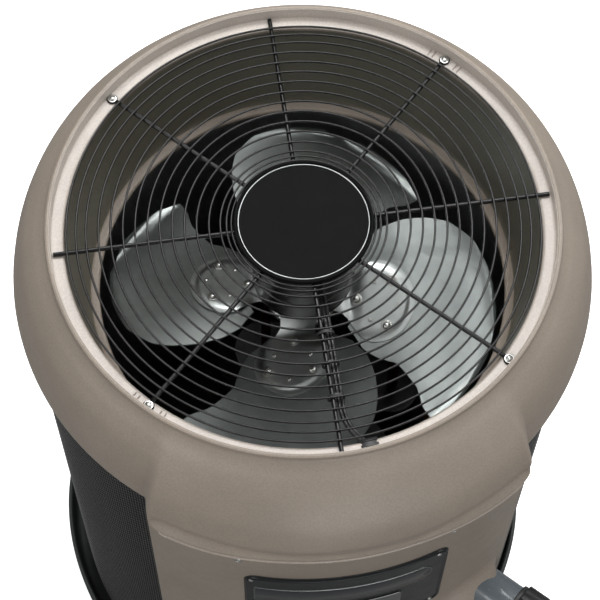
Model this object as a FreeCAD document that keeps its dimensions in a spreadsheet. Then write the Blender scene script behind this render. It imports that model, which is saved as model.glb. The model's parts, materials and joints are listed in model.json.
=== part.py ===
"""Round pool and spa heat pump unit with a top fan, as separate named pieces.

Millimetres, +Z up. The origin is on the fan axis at the underside of the base pan, and the
front, with the control panel, faces -Y. Angles are measured from +X, so the front is at -90.
"""
import FreeCAD, Part
import Sketcher
import math
import os
import re

DIMENSIONS = {
    # main levels and radii of the cabinet
    "ledge_level": 1058,        # shelf that carries the fan guard
    "rim_height": 22,           # upstand round that shelf
    "rim_radius": 345,          # inside of the upstand
    "rim_wall": 7,
    "ledge_radius": 329,        # inner edge of the shelf
    "throat_radius": 293,
    "lip_radius": 309,
    "lip_level": 894,
    "shroud_radius": 410,       # widest ring of the shroud, at its lower edge
    "shroud_level": 930,        # lower edge of the shroud
    "shroud_wall": 4,
    "bib_radius": 443,          # front bulge of the shroud
    "bib_angle": 78,
    "panel_radius": 431,
    "panel_angle": 76,
    "panel_wall": 3,
    "panel_root": 384,          # how far back the panel's side walls reach
    # base
    "base_radius": 424,
    "base_front_radius": 443,
    "base_front_angle": 82,
    "base_height": 55,
    "floor_level": 14,
    "rim_thickness": 9,
    "anchor_radius": 403,
    "anchor_hole": 5,
    "drain_circle": 317,
    "drain_radius": 8,
    # coil and its mesh
    "mesh_radius": 394,
    "mesh_wall": 1.5,
    "mesh_start": -50.5,
    "mesh_sweep": 281,
    "mesh_foot": 24,
    "coil_radius": 362,
    "coil_depth": 32,
    "fin_face": 2,
    "coil_start": -43,
    "coil_sweep": 266,
    "coil_foot": 20,
    "coil_top": 926,
    "header_radius": 10,
    "bend_radius": 10,
    "bend_wire": 4.5,
    "bend_first": 50,
    "bend_pitch": 70,
    "post_radius": 374,
    "post_depth": 11,
    "post_front_radius": 427.5,
    # guard
    "spoke_wire": 3.2,
    "ring_wire": 1.5,
    "ring_pitch": 16.75,
    "ring_first": 129.4,
    "eyelet_radius": 338,
    "badge_radius": 96,
    "badge_height": 8,
    # motor
    "motor_radius": 72,
    "motor_foot": 912,
    "motor_top": 1042,
    "motor_wall": 3,
    "shaft_radius": 6.35,
    "running_gap": 0.05,
    "shaft_foot": 822,
    # fan
    "fan_level": 851,
    "tip_radius": 285,
    "fan_angle": -15,           # direction of the first blade
    "blade_pitch": 20,
    "blade_gauge": 2,
    "spider_gauge": 3,
    "hub_radius": 18,
    "bolt_radius": 3,
    # control panel
    "bezel_top": 836,
    "bezel_height": 215,
    "bezel_angle": 38,
    "bezel_depth": 8,
    "bezel_proud": 5,
    "button_radius": 8,
    "button_level": 648,
    "button_gap": 0.4,
    # plumbing, on a line that leaves at -45 degrees
    "pipe_radius": 30.15,
    "pipe_bore": 26.2,
    "pipe_offset": -111,
    "pipe_start": 230,
    "pipe_end": 514,
    "outlet_level": 541,
    "inlet_level": 341,
    "union_start": 427,         # where the unions' grey bodies begin, clear of the panel
    "union_radius": 37,
    "nut_radius": 42.5,
    "nut_rib": 3.2,
    "nut_length": 50,
    "nut_reach": 31,            # how far the nut reaches back over the union body
    "socket_bore": 30.2,
    "socket_depth": 38,
    "exchanger_reach": 150,
    "exchanger_radius": 88,
    "exchanger_top": 640,
    "compressor_radius": 83,
    "compressor_top": 430,
    "vessel_wall": 3.5,
    "pump_radius": 58,
    "pump_height": 230,
    "accumulator_radius": 45,
    "accumulator_height": 316,
    "drier_radius": 25,
    "drier_length": 140,
    "drier_foot": 150,
    # inner boxes
    "box_width": 210,
    "box_depth": 78,
    "box_front": -385,
    "box_foot": 470,
    "box_top": 800,
    "cable_radius": 5,
}

PIPE_ANGLE = -45
FRONT = -90
SPOKES = 8
BLADES = 4
BLADE_BOLTS = ((128, 34), (128, -34), (80, 0))
CABLE_ANGLE = -83.5      # where the motor cable leaves the air stream
CABLE_DROP = 338
PANEL_SCREWS = (-110, -70)
POWER_ANGLE = -121
BUTTONS = (("mode", -98), ("down", -90), ("up", -82))
BOARD_FACE = -404        # front of the control board, which sits on four pegs
BOARD_PEGS = ((-75, 640), (75, 640), (-75, 768), (75, 768))
COMPRESSOR = (-40, 120)
COMPRESSOR_FEET = ((-80, -80), (-80, 80), (80, -80), (80, 80))
ACCUMULATOR = (170, 60)
DRIER_X = -150
WORD = re.compile(r"[a-z_]+")

doc = FreeCAD.newDocument("heat_pump_unit")
sheet = doc.addObject("Spreadsheet::Sheet", "dims")
for row, (alias, number) in enumerate(DIMENSIONS.items(), 1):
    sheet.set(f"A{row}", alias)
    sheet.set(f"B{row}", str(number))
    sheet.setAlias(f"B{row}", alias)
doc.recompute()

nodes = {}


def in_sheet(expression):
    """The expression with each alias written as a reference to the sheet."""
    return WORD.sub(lambda w: "dims." + w.group() if w.group() in DIMENSIONS else w.group(),
                    str(expression))


def value_of(expression):
    """The number that an expression stands for."""
    result = sheet.evalExpression(in_sheet(expression).replace("dims.", ""))
    return float(getattr(result, "Value", result))


def bind(obj, **expressions):
    for name, expression in expressions.items():
        obj.setExpression(name, in_sheet(expression))
    return obj


def place(obj, x=0, y=0, z=0, turn=0):
    """Puts an object at a point given by expressions, turned about its own Z axis."""
    obj.setExpression("Placement.Base.x", in_sheet(x))
    obj.setExpression("Placement.Base.y", in_sheet(y))
    obj.setExpression("Placement.Base.z", in_sheet(z))
    if turn:
        obj.setExpression("Placement.Rotation.Angle", f"({in_sheet(turn)}) * 1 deg")
    return obj


def lay_along(obj, angle, x, y, z):
    """Lays an object's Z axis down level, pointing at an angle from +X."""
    level = FreeCAD.Rotation(FreeCAD.Vector(0, 1, 0), 90)
    heading = FreeCAD.Rotation(FreeCAD.Vector(0, 0, 1), angle)
    obj.Placement.Rotation = heading.multiply(level)
    for axis, expression in zip("xyz", (x, y, z)):
        obj.setExpression(f"Placement.Base.{axis}", in_sheet(expression))
    return obj


def along(distance, offset=0, angle=PIPE_ANGLE):
    """Expressions for X and Y at a distance along a heading, and an offset to its left."""
    x = f"({distance}) * cos({angle} deg) - ({offset}) * sin({angle} deg)"
    y = f"({distance}) * sin({angle} deg) + ({offset}) * cos({angle} deg)"
    return x, y


def node(name, obj):
    """Names a finished piece; its label is the name of its file."""
    obj.Label = name
    nodes[name] = obj
    return obj


def cylinder(name, radius, height, sweep=None):
    obj = doc.addObject("Part::Cylinder", name)
    bind(obj, Radius=radius, Height=height)
    if sweep is not None:
        bind(obj, Angle=sweep)
    return obj


def torus(name, radius, wire):
    return bind(doc.addObject("Part::Torus", name), Radius1=radius, Radius2=wire)


def block(name, length, width, height):
    return bind(doc.addObject("Part::Box", name), Length=length, Width=width, Height=height)


def fuse(name, *shapes):
    obj = doc.addObject("Part::MultiFuse", name)
    obj.Shapes = list(shapes)
    return obj


def group(name, shapes):
    """Separate solids that share one node."""
    obj = doc.addObject("Part::Compound", name)
    obj.Links = list(shapes)
    return obj


def cut(name, base, *tools):
    obj = doc.addObject("Part::Cut", name)
    obj.Base = base
    obj.Tool = tools[0] if len(tools) == 1 else fuse(name + "_tools", *tools)
    return obj


def ring(name, outer, inner, foot, height):
    """A plain ring about the Z axis."""
    outside = place(cylinder(name + "_outside", outer, height), z=foot)
    inside = place(cylinder(name + "_inside", inner, f"{height} + 2"), z=f"{foot} - 1")
    return cut(name, outside, inside)


def curved_plate(name, outer, inner, start, sweep, foot, height):
    """A plate bent round the Z axis, from one angle through a sweep."""
    outside = cylinder(name + "_outside", outer, height, sweep)
    place(outside, z=foot, turn=start)
    inside = place(cylinder(name + "_inside", inner, f"{height} + 2"), z=f"{foot} - 1")
    return cut(name, outside, inside)


def level_tube(name, outer, inner, length, distance, offset, level, angle=PIPE_ANGLE):
    """A tube that lies level along a heading, from a distance out."""
    x, y = along(distance, offset, angle)
    outside = lay_along(cylinder(name + "_outside", outer, length), angle, x, y, level)
    if inner is None:
        return outside
    x, y = along(f"{distance} - 1", offset, angle)
    inside = lay_along(cylinder(name + "_inside", inner, f"{length} + 2"), angle, x, y, level)
    return cut(name, outside, inside)


def constrain(sketch, index, point):
    """Fixes the start of a sketch line by two dimensions from the sheet."""
    for kind, expression in zip(("DistanceX", "DistanceY"), point):
        made = sketch.addConstraint(Sketcher.Constraint(kind, index, 1, 1.0))
        sketch.setExpression(f"Constraints[{made}]", in_sheet(expression))


def revolved(name, outline, sweep=360, plane="XZ_Plane"):
    """A PartDesign body turned from a closed outline of (radius, level) expressions."""
    body = doc.addObject("PartDesign::Body", name)
    sketch = body.newObject("Sketcher::SketchObject", name + "_profile")
    origin_plane = [f for f in body.Origin.OriginFeatures if f.Role == plane][0]
    sketch.AttachmentSupport = [(origin_plane, "")]
    sketch.MapMode = "FlatFace"
    rough = [FreeCAD.Vector(value_of(r), value_of(z), 0) for r, z in outline]
    for here, there in zip(rough, rough[1:] + rough[:1]):
        sketch.addGeometry(Part.LineSegment(here, there))
    count = len(outline)
    for index in range(count):
        sketch.addConstraint(Sketcher.Constraint("Coincident", index, 2, (index + 1) % count, 1))
    for index, point in enumerate(outline):
        constrain(sketch, index, point)
    turned = body.newObject("PartDesign::Revolution", name + "_turned")
    turned.Profile = sketch
    turned.ReferenceAxis = (sketch, ["V_Axis"])
    turned.Midplane = True
    bind(turned, Angle=sweep)
    return body


def bent_path(points):
    """A wire of straight runs joined by tangent arcs, each as large as its two runs allow."""
    corners = [FreeCAD.Vector(*p) for p in points]
    edges, start = [], corners[0]
    for before, corner, after in zip(corners, corners[1:], corners[2:]):
        back = (before - corner).normalize()
        ahead = (after - corner).normalize()
        half_turn = (math.pi - back.getAngle(ahead)) / 2
        reach = 0.45 * min((before - corner).Length, (after - corner).Length)
        radius = reach / math.tan(half_turn)
        middle = (back + ahead).normalize()
        depth = radius / math.cos(half_turn) - radius
        first, last = corner + back * reach, corner + ahead * reach
        edges.append(Part.LineSegment(start, first).toShape())
        edges.append(Part.Arc(first, corner + middle * depth, last).toShape())
        start = last
    edges.append(Part.LineSegment(start, corners[-1]).toShape())
    return Part.Wire(edges)


def bent_tube(points, radius):
    """The solid of a round bar or tube that follows such a path."""
    heading = FreeCAD.Vector(*points[1]) - FreeCAD.Vector(*points[0])
    section = Part.Wire(Part.Circle(FreeCAD.Vector(*points[0]), heading, radius).toShape())
    return bent_path(points).makePipeShell([section], True, False)


def feature(name, shape):
    obj = doc.addObject("Part::Feature", name)
    obj.Shape = shape
    return obj


def make_base():
    """Moulded pan: a round floor with a front bulge, a raised rim and anchor holes."""
    outside = fuse("base_outline",
                   cylinder("base_round", "base_radius", "base_height"),
                   place(cylinder("base_front", "base_front_radius", "base_height",
                                  "base_front_angle"),
                         turn=f"{FRONT} - base_front_angle / 2"))
    pocket = fuse("base_pocket",
                  place(cylinder("pocket_round", "base_radius - rim_thickness", "base_height"),
                        z="floor_level"),
                  place(cylinder("pocket_front", "base_front_radius - rim_thickness",
                                 "base_height", "base_front_angle - 2.6"),
                        z="floor_level", turn=f"{FRONT} - base_front_angle / 2 + 1.3"))
    holes = []
    for k in range(4):
        x, y = along("anchor_radius", 0, 45 + 90 * k)
        holes.append(place(cylinder(f"anchor_{k}", "anchor_hole", "floor_level + 2"),
                           x=x, y=y, z=-1))
    for k, angle in enumerate((75, 90, 105)):
        x, y = along("drain_circle", 0, angle)
        holes.append(place(cylinder(f"drain_{k}", "drain_radius", "floor_level + 2"),
                           x=x, y=y, z=-1))
    node("base_pan", cut("base_cut", outside, pocket, *holes))


def make_shroud():
    """Top cap: flared outer wall, rim, shelf, deep air throat, deck and the front bulge."""
    wall = "shroud_wall"
    cap = revolved("shroud_round", [
        ("rim_radius + rim_wall", "ledge_level + rim_height"),
        ("rim_radius", "ledge_level + rim_height"),
        ("rim_radius", "ledge_level"),
        ("ledge_radius", "ledge_level"),
        ("lip_radius", "lip_level"),
        ("throat_radius", "lip_level - 2"),
        ("throat_radius", "lip_level - 8"),
        (f"lip_radius + {wall}", "lip_level - 6"),
        (f"lip_radius + {wall} + 5", "shroud_level"),
        ("shroud_radius", "shroud_level"),
        ("shroud_radius", "shroud_level + 18"),
        ("shroud_radius - 5", "shroud_level + 54"),
        ("shroud_radius - 18", "shroud_level + 94"),
        ("rim_radius + 24", "ledge_level + 3"),
        ("rim_radius + rim_wall + 3", "ledge_level + 16"),
    ])
    hollow = revolved("shroud_hollow", [
        (f"ledge_radius + {wall}", f"ledge_level - {wall}"),
        (f"lip_radius + {wall} + 5", f"shroud_level + {wall}"),
        (f"shroud_radius - {wall}", f"shroud_level + {wall}"),
        (f"shroud_radius - {wall}", "shroud_level + 18"),
        (f"shroud_radius - {wall} - 5", "shroud_level + 53"),
        (f"shroud_radius - {wall} - 18", "shroud_level + 92"),
        ("rim_radius + 18", f"ledge_level - {wall}"),
    ])
    bulge = revolved("bib_bulge", [
        ("-(shroud_radius - 2)", "shroud_level"),
        ("-bib_radius", "shroud_level"),
        ("-bib_radius", "shroud_level + 14"),
        ("-(bib_radius - 9)", "shroud_level + 48"),
        ("-(bib_radius - 34)", "shroud_level + 92"),
        ("-(rim_radius + 28)", "ledge_level"),
        ("-(rim_radius + 20)", "ledge_level"),
        ("-(shroud_radius - 20)", "shroud_level + 92"),
        ("-(shroud_radius - 7)", "shroud_level + 54"),
        ("-(shroud_radius - 2)", "shroud_level + 18"),
    ], "bib_angle", "YZ_Plane")
    pocket = revolved("bib_pocket", [
        ("-(shroud_radius - 1)", "shroud_level - 1"),
        (f"-(bib_radius - {wall})", "shroud_level - 1"),
        (f"-(bib_radius - {wall})", "shroud_level + 13"),
        (f"-(bib_radius - {wall} - 9)", "shroud_level + 45"),
        (f"-(bib_radius - {wall} - 28)", "shroud_level + 78"),
        ("-(shroud_radius - 5)", "shroud_level + 52"),
        ("-(shroud_radius - 1)", "shroud_level + 18"),
    ], "bib_angle - 1.2", "YZ_Plane")
    x, y = along("ledge_radius - 4", -13, CABLE_ANGLE)
    notch = place(block("cable_notch", 20, 26, 22), x=x, y=y, z="ledge_level - 21",
                  turn=CABLE_ANGLE)
    x, y = along(CABLE_DROP, 0, CABLE_ANGLE)
    pass_hole = place(cylinder("cable_pass", "cable_radius + 1.5", 60), x=x, y=y,
                      z="shroud_level - 10")
    holes = []
    for k in range(BLADES):
        x, y = along("eyelet_radius", 0, 45 + 90 * k)
        holes.append(place(cylinder(f"eyelet_hole_{k}", 2.1, 12), x=x, y=y,
                           z="ledge_level - 8"))
    node("top_shroud", cut("shroud_cut", fuse("shroud_body", cut("shroud_shell", cap, hollow),
                                              cut("bib_shell", bulge, pocket)),
                           notch, pass_hole, *holes))


def make_panel():
    """Front panel: a bent sheet with side walls, a control opening and pipe holes."""
    height = "shroud_level - floor_level - 0.4"
    outside = place(cylinder("panel_outside", "panel_radius", height, "panel_angle"),
                    z="floor_level", turn=f"{FRONT} - panel_angle / 2")
    hollow = place(cylinder("panel_hollow", "panel_radius - panel_wall", f"{height} + 2",
                            "panel_angle - 0.9"),
                   z="floor_level - 1", turn=f"{FRONT} - panel_angle / 2 + 0.45")
    core = place(cylinder("panel_core", "panel_root", f"{height} + 2"), z="floor_level - 1")
    opening = curved_plate("bezel_opening", "panel_radius + 2", "panel_radius - 12",
                           f"{FRONT} - bezel_angle / 2 + 0.9", "bezel_angle - 1.8",
                           "bezel_top - bezel_height + 7", "bezel_height - 14")
    tools = [hollow, core, opening]
    for name, level in (("outlet", "outlet_level"), ("inlet", "inlet_level")):
        tools.append(level_tube(name + "_panel_hole", "pipe_radius + 0.6", None, 100, 370,
                                "pipe_offset", level))
    tools.append(level_tube("power_panel_hole", 13.4, None, 40, 410, 0, 300, POWER_ANGLE))
    for k, angle in enumerate(PANEL_SCREWS):
        for j, level in enumerate(("shroud_level - 38", "floor_level + 60")):
            tools.append(level_tube(f"panel_screw_hole_{k}_{j}", 2.6, None, 8, 425, 0, level,
                                    angle))
    node("front_panel", cut("panel_cut", outside, *tools))


def make_posts():
    """Upright bars that hold the shroud over the base, and the screws into the front two."""
    height = "shroud_level - floor_level - 0.4"
    bars = [curved_plate(f"post_{k}", "post_radius", "post_radius - post_depth", angle - 2, 4,
                         "floor_level", height) for k, angle in enumerate((30, 90, 150))]
    screws = []
    for k, angle in enumerate(PANEL_SCREWS):
        bar = curved_plate(f"front_post_{k}", "post_front_radius", "post_front_radius - 12",
                           angle - 1.6, 3.2, "floor_level", height)
        holes = []
        for j, level in enumerate(("shroud_level - 38", "floor_level + 60")):
            holes.append(level_tube(f"post_hole_{k}_{j}", 2.1, None, 20, 412, 0, level, angle))
            shank = level_tube(f"screw_shank_{k}_{j}", 2.1, None, "panel_radius - 414", 414, 0,
                               level, angle)
            head = level_tube(f"screw_head_{k}_{j}", 5.5, None, 3, "panel_radius", 0, level,
                              angle)
            screws.append(fuse(f"panel_screw_{k}_{j}", shank, head))
        bars.append(cut(f"drilled_post_{k}", bar, *holes))
    node("support_posts", group("posts", bars))
    node("panel_screws", group("panel_screw_set", screws))


def make_coil():
    """The C-shaped finned coil, its end plates, tube bends and headers, and the outer mesh."""
    node("mesh_guard", curved_plate("mesh", "mesh_radius", "mesh_radius - mesh_wall",
                                    "mesh_start", "mesh_sweep", "mesh_foot",
                                    "shroud_level - mesh_foot - 0.4"))
    height = "coil_top - coil_foot"
    inner = "coil_radius - coil_depth"
    fins = curved_plate("fins", "coil_radius", inner, "coil_start", "coil_sweep", "coil_foot",
                        height)
    air = curved_plate("fin_space", "coil_radius - fin_face", f"{inner} + fin_face",
                       "coil_start + 0.4", "coil_sweep - 0.8", "coil_foot - 1", f"{height} + 2")
    node("evaporator_coil", cut("fin_pack", fins, air))
    plates, tubes = [], []
    ends = (("right", "coil_start - 0.6", "coil_start - 2.6", "coil_start - 5.6"),
            ("left", "coil_start + coil_sweep", "coil_start + coil_sweep + 2.6",
             "coil_start + coil_sweep + 5.6"))
    for side, plate_start, bend_angle, header_angle in ends:
        plates.append(curved_plate(f"end_plate_{side}", "coil_radius", inner, plate_start, 0.6,
                                   "floor_level", "coil_top - floor_level"))
        radius = "coil_radius - coil_depth / 2"
        header = place(cylinder(f"header_{side}", "header_radius", height),
                       x=f"({radius}) * cos(({header_angle}) * 1 deg)",
                       y=f"({radius}) * sin(({header_angle}) * 1 deg)", z="coil_foot")
        tubes.append(header)
        for k in range(12):
            bend = bind(torus(f"bend_{side}_{k}", "bend_radius", "bend_wire"), Angle3=180)
            tilt = FreeCAD.Rotation(FreeCAD.Vector(1, 0, 0), 90)
            heading = FreeCAD.Rotation(FreeCAD.Vector(0, 0, 1), value_of(bend_angle))
            bend.Placement.Rotation = heading.multiply(tilt)
            for axis, part in (("x", "cos"), ("y", "sin")):
                bend.setExpression(f"Placement.Base.{axis}",
                                   in_sheet(f"({radius}) * {part}(({bend_angle}) * 1 deg)"))
            bend.setExpression("Placement.Base.z",
                               in_sheet(f"coil_foot + bend_first + {k} * bend_pitch"))
            tubes.append(bend)
    node("coil_end_plates", group("end_plates", plates))
    node("coil_tubes", group("tubes", tubes))


def make_guard():
    """Fan guard: spokes on the shelf, welded rings, a centre badge and the fixings."""
    level = "ledge_level + spoke_wire"
    spokes, fixings = [], []
    for k in range(SPOKES):
        angle = 45 * k - 90
        diagonal = k % 2 == 1
        reach = "eyelet_radius - 6.6 - 26" if diagonal else "rim_radius - 2 - 26"
        x, y = along(26, 0, angle)
        rod = lay_along(cylinder(f"spoke_{k}", "spoke_wire", reach), angle, x, y, level)
        if not diagonal:
            spokes.append(rod)
            continue
        x, y = along("eyelet_radius", 0, angle)
        eye = place(cylinder(f"eyelet_{k}", 7, 3), x=x, y=y, z="ledge_level")
        hole = place(cylinder(f"eyelet_bore_{k}", 2.3, 20), x=x, y=y, z="ledge_level - 5")
        spokes.append(cut(f"eyed_spoke_{k}", fuse(f"spoke_eye_{k}", rod, eye), hole))
        washer = place(cylinder(f"washer_{k}", 6.5, 1.2), x=x, y=y, z="ledge_level + 3")
        bore = place(cylinder(f"washer_bore_{k}", 2.3, 6), x=x, y=y, z="ledge_level + 1")
        fixings.append(cut(f"guard_washer_{k}", washer, bore))
        shank = place(cylinder(f"guard_shank_{k}", 2, 12), x=x, y=y, z="ledge_level - 7")
        head = place(cylinder(f"guard_head_{k}", 4.6, 3), x=x, y=y, z="ledge_level + 4.2")
        fixings.append(fuse(f"guard_screw_{k}", shank, head))
    plate = place(cylinder("hub_disc", 34, 3), z="ledge_level + spoke_wire - 1.5")
    node("guard_spokes", fuse("spoke_set", plate, *spokes))
    node("guard_screws", group("guard_fixings", fixings))
    radii = ["badge_radius + 3", "badge_radius + 9.5", "badge_radius + 18"]
    radii += [f"ring_first + {k} * ring_pitch" for k in range(11)]
    radii += ["ledge_radius - 18.5", "ledge_radius - 5"]
    rings = [place(torus(f"ring_{k}", radius, "ring_wire"),
                   z="ledge_level + 2 * spoke_wire + ring_wire - 0.1")
             for k, radius in enumerate(radii)]
    node("guard_rings", group("ring_set", rings))
    node("badge", revolved("badge_disc", [
        (0, "ledge_level + 2 * spoke_wire"),
        ("badge_radius", "ledge_level + 2 * spoke_wire"),
        ("badge_radius", "ledge_level + 2 * spoke_wire + badge_height"),
        ("badge_radius - 4", "ledge_level + 2 * spoke_wire + badge_height"),
        ("badge_radius - 6", "ledge_level + 2 * spoke_wire + badge_height - 3"),
        (0, "ledge_level + 2 * spoke_wire + badge_height - 3"),
    ]))


def make_motor():
    """Motor hung under the guard: shell, end bells, stator, bearings, plate and studs."""
    length = "motor_top - motor_foot"
    node("motor_shell", ring("motor_can", "motor_radius", "motor_radius - motor_wall",
                             "motor_foot + 4", f"{length} - 8"))
    node("motor_end_bells", group("end_bells", [
        fuse("lower_bell", ring("lower_plate", "motor_radius", "shaft_radius + 1", "motor_foot", 4),
             ring("lower_seat", 21, 17, "motor_foot + 3", 11)),
        fuse("upper_bell", ring("upper_plate", "motor_radius", "shaft_radius + 1",
                                "motor_top - 4", 4),
             ring("upper_seat", 21, 17, "motor_top - 14", 11))]))
    node("motor_stator", ring("stator", "motor_radius - motor_wall", 41, "motor_foot + 30",
                              f"{length} - 60"))
    bearings = []
    for name, level in (("lower", "motor_foot + 4"), ("upper", "motor_top - 14")):
        bearings.append(ring(f"bearing_{name}", 17, "shaft_radius + running_gap", level, 10))
    node("motor_bearings", group("bearing_set", bearings))
    node("motor_mount_plate", ring("mount_plate", 84, 22, "ledge_level - 4", 4))
    studs = []
    for k in range(4):
        x, y = along(58, 0, 45 + 90 * k + 22.5)
        stud = place(cylinder(f"stud_{k}", 3, "ledge_level - 4 - motor_top"), x=x, y=y,
                     z="motor_top")
        nut = place(cylinder(f"stud_nut_{k}", 6, 4), x=x, y=y, z="ledge_level - 8")
        studs.append(fuse(f"motor_stud_{k}", stud, nut))
    node("motor_mount_studs", group("stud_set", studs))
    node("motor_shaft", place(cylinder("shaft", "shaft_radius", "motor_top - 6 - shaft_foot"),
                              z="shaft_foot"))
    node("motor_rotor", ring("rotor", 40, "shaft_radius", "motor_foot + 32",
                             f"{length} - 64"))


def blade_outline():
    """The plan of one blade that points along +X: rounded behind, cut off square in front."""
    scale = value_of("tip_radius") / 0.83
    behind = [(0.24, 20), (0.40, 33), (0.55, 33), (0.68, 30), (0.77, 22), (0.82, 11),
              (0.83, 0), (0.83, -10)]
    ahead = [(0.72, -36), (0.60, -31), (0.48, -26), (0.36, -23), (0.24, -20)]
    curves = []
    for polar in (behind, ahead):
        points = [FreeCAD.Vector(scale * r * math.cos(math.radians(a)),
                                 scale * r * math.sin(math.radians(a)), 0) for r, a in polar]
        spline = Part.BSplineCurve()
        spline.interpolate(points)
        curves.append((points, spline.toShape()))
    (first, rear), (second, front) = curves
    edges = [rear, Part.LineSegment(first[-1], second[0]).toShape(), front,
             Part.LineSegment(second[-1], first[0]).toShape()]
    return Part.Face(Part.Wire(edges))


def pitched(name, shape, angle):
    """A flat piece tilted to the blade pitch about its own radius, then turned to its arm."""
    made = feature(name, shape)
    tilt = FreeCAD.Rotation(FreeCAD.Vector(1, 0, 0), value_of("blade_pitch"))
    heading = FreeCAD.Rotation(FreeCAD.Vector(0, 0, 1), angle)
    made.Placement = FreeCAD.Placement(FreeCAD.Vector(0, 0, value_of("fan_level")),
                                       heading.multiply(tilt))
    return made


def bolt(radius, aside, gauge, plate):
    """A washered bolt through the spider plate and the blade, with a nut below."""
    foot = FreeCAD.Vector(radius, aside, 0)
    shank = value_of("bolt_radius")
    pieces = [(shank, -5, 5 + gauge + plate), (5.5, -4, 4), (8.5, gauge + plate, 1.2),
              (5.5, gauge + plate + 1.2, 3.5)]
    solids = [Part.makeCylinder(r, height, foot + FreeCAD.Vector(0, 0, level))
              for r, level, height in pieces]
    return solids[0].multiFuse(solids[1:])


def make_fan():
    """Four broad blades under a pressed spider, its hub, and the bolts through them."""
    gauge = value_of("blade_gauge")
    plate = value_of("spider_gauge")
    holes = [Part.makeCylinder(value_of("bolt_radius"), 4 * plate,
                               FreeCAD.Vector(*spot, -plate)) for spot in BLADE_BOLTS]
    blade = blade_outline().extrude(FreeCAD.Vector(0, 0, gauge)).cut(holes)
    arm = Part.makeBox(105, 62, plate, FreeCAD.Vector(0, -31, gauge))
    tip = Part.makeCylinder(52, plate, FreeCAD.Vector(105, 0, gauge))
    arm = arm.fuse(tip).removeSplitter().cut(holes)
    arms, bolts = [], []
    for k in range(BLADES):
        angle = value_of("fan_angle") + 90 * k
        node(f"fan_blade_{k + 1}", pitched(f"blade_{k}", blade, angle))
        arms.append(pitched(f"arm_{k}", arm, angle))
        for j, spot in enumerate(BLADE_BOLTS):
            bolts.append(pitched(f"blade_bolt_{k}_{j}", bolt(*spot, gauge, plate), angle))
    dish = ring("spider_dish", 62, "hub_radius", "fan_level - 9", 20)
    bore = place(cylinder("spider_bore", "hub_radius", 80), z="fan_level - 40")
    node("fan_spider", cut("spider", fuse("spider_solid", dish, *arms), bore))
    node("fan_hub", ring("hub", "hub_radius", "shaft_radius", "fan_level - 22", 44))
    node("fan_bolts", group("bolt_set", bolts))


def make_cable():
    """Motor cable along the front spoke, its ties, and the relief where it leaves."""
    top = value_of("ledge_level")
    side = value_of("spoke_wire + cable_radius + 1.8")
    x, y = (value_of(e) for e in along(CABLE_DROP, 0, CABLE_ANGLE))
    under = top - value_of("cable_radius + 1")
    route = [(side, -value_of("motor_radius"), under - 22), (side, -104, under - 22),
             (side, -134, under), (side, -296, under), (x, y, under),
             (x, y, value_of("box_foot + 220"))]
    radius = value_of("cable_radius")
    tube = bent_tube(route, radius)
    print("cable", round(tube.Volume / (math.pi * radius ** 2 * bent_path(route).Length), 4))
    node("motor_cable", feature("cable", tube))
    px, py = along("ledge_radius - 3", -12, CABLE_ANGLE)
    body = place(block("relief_body", 18, 24, 20), x=px, y=py, z="ledge_level - 20",
                 turn=CABLE_ANGLE)
    way = feature("relief_way", bent_tube(route, radius + 0.2))
    node("strain_relief", cut("relief", body, way))
    ties = []
    for k, reach in enumerate((-165, -210, -258)):
        band = cylinder(f"tie_{k}", "cable_radius + 2", 4)
        gap = place(cylinder(f"tie_gap_{k}", "cable_radius + 0.2", 6), z=-1)
        loop = cut(f"tie_loop_{k}", band, gap)
        loop.Placement = FreeCAD.Placement(FreeCAD.Vector(side, reach, under),
                                           FreeCAD.Rotation(FreeCAD.Vector(1, 0, 0), 90))
        ties.append(loop)
    node("cable_ties", group("tie_set", ties))


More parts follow.
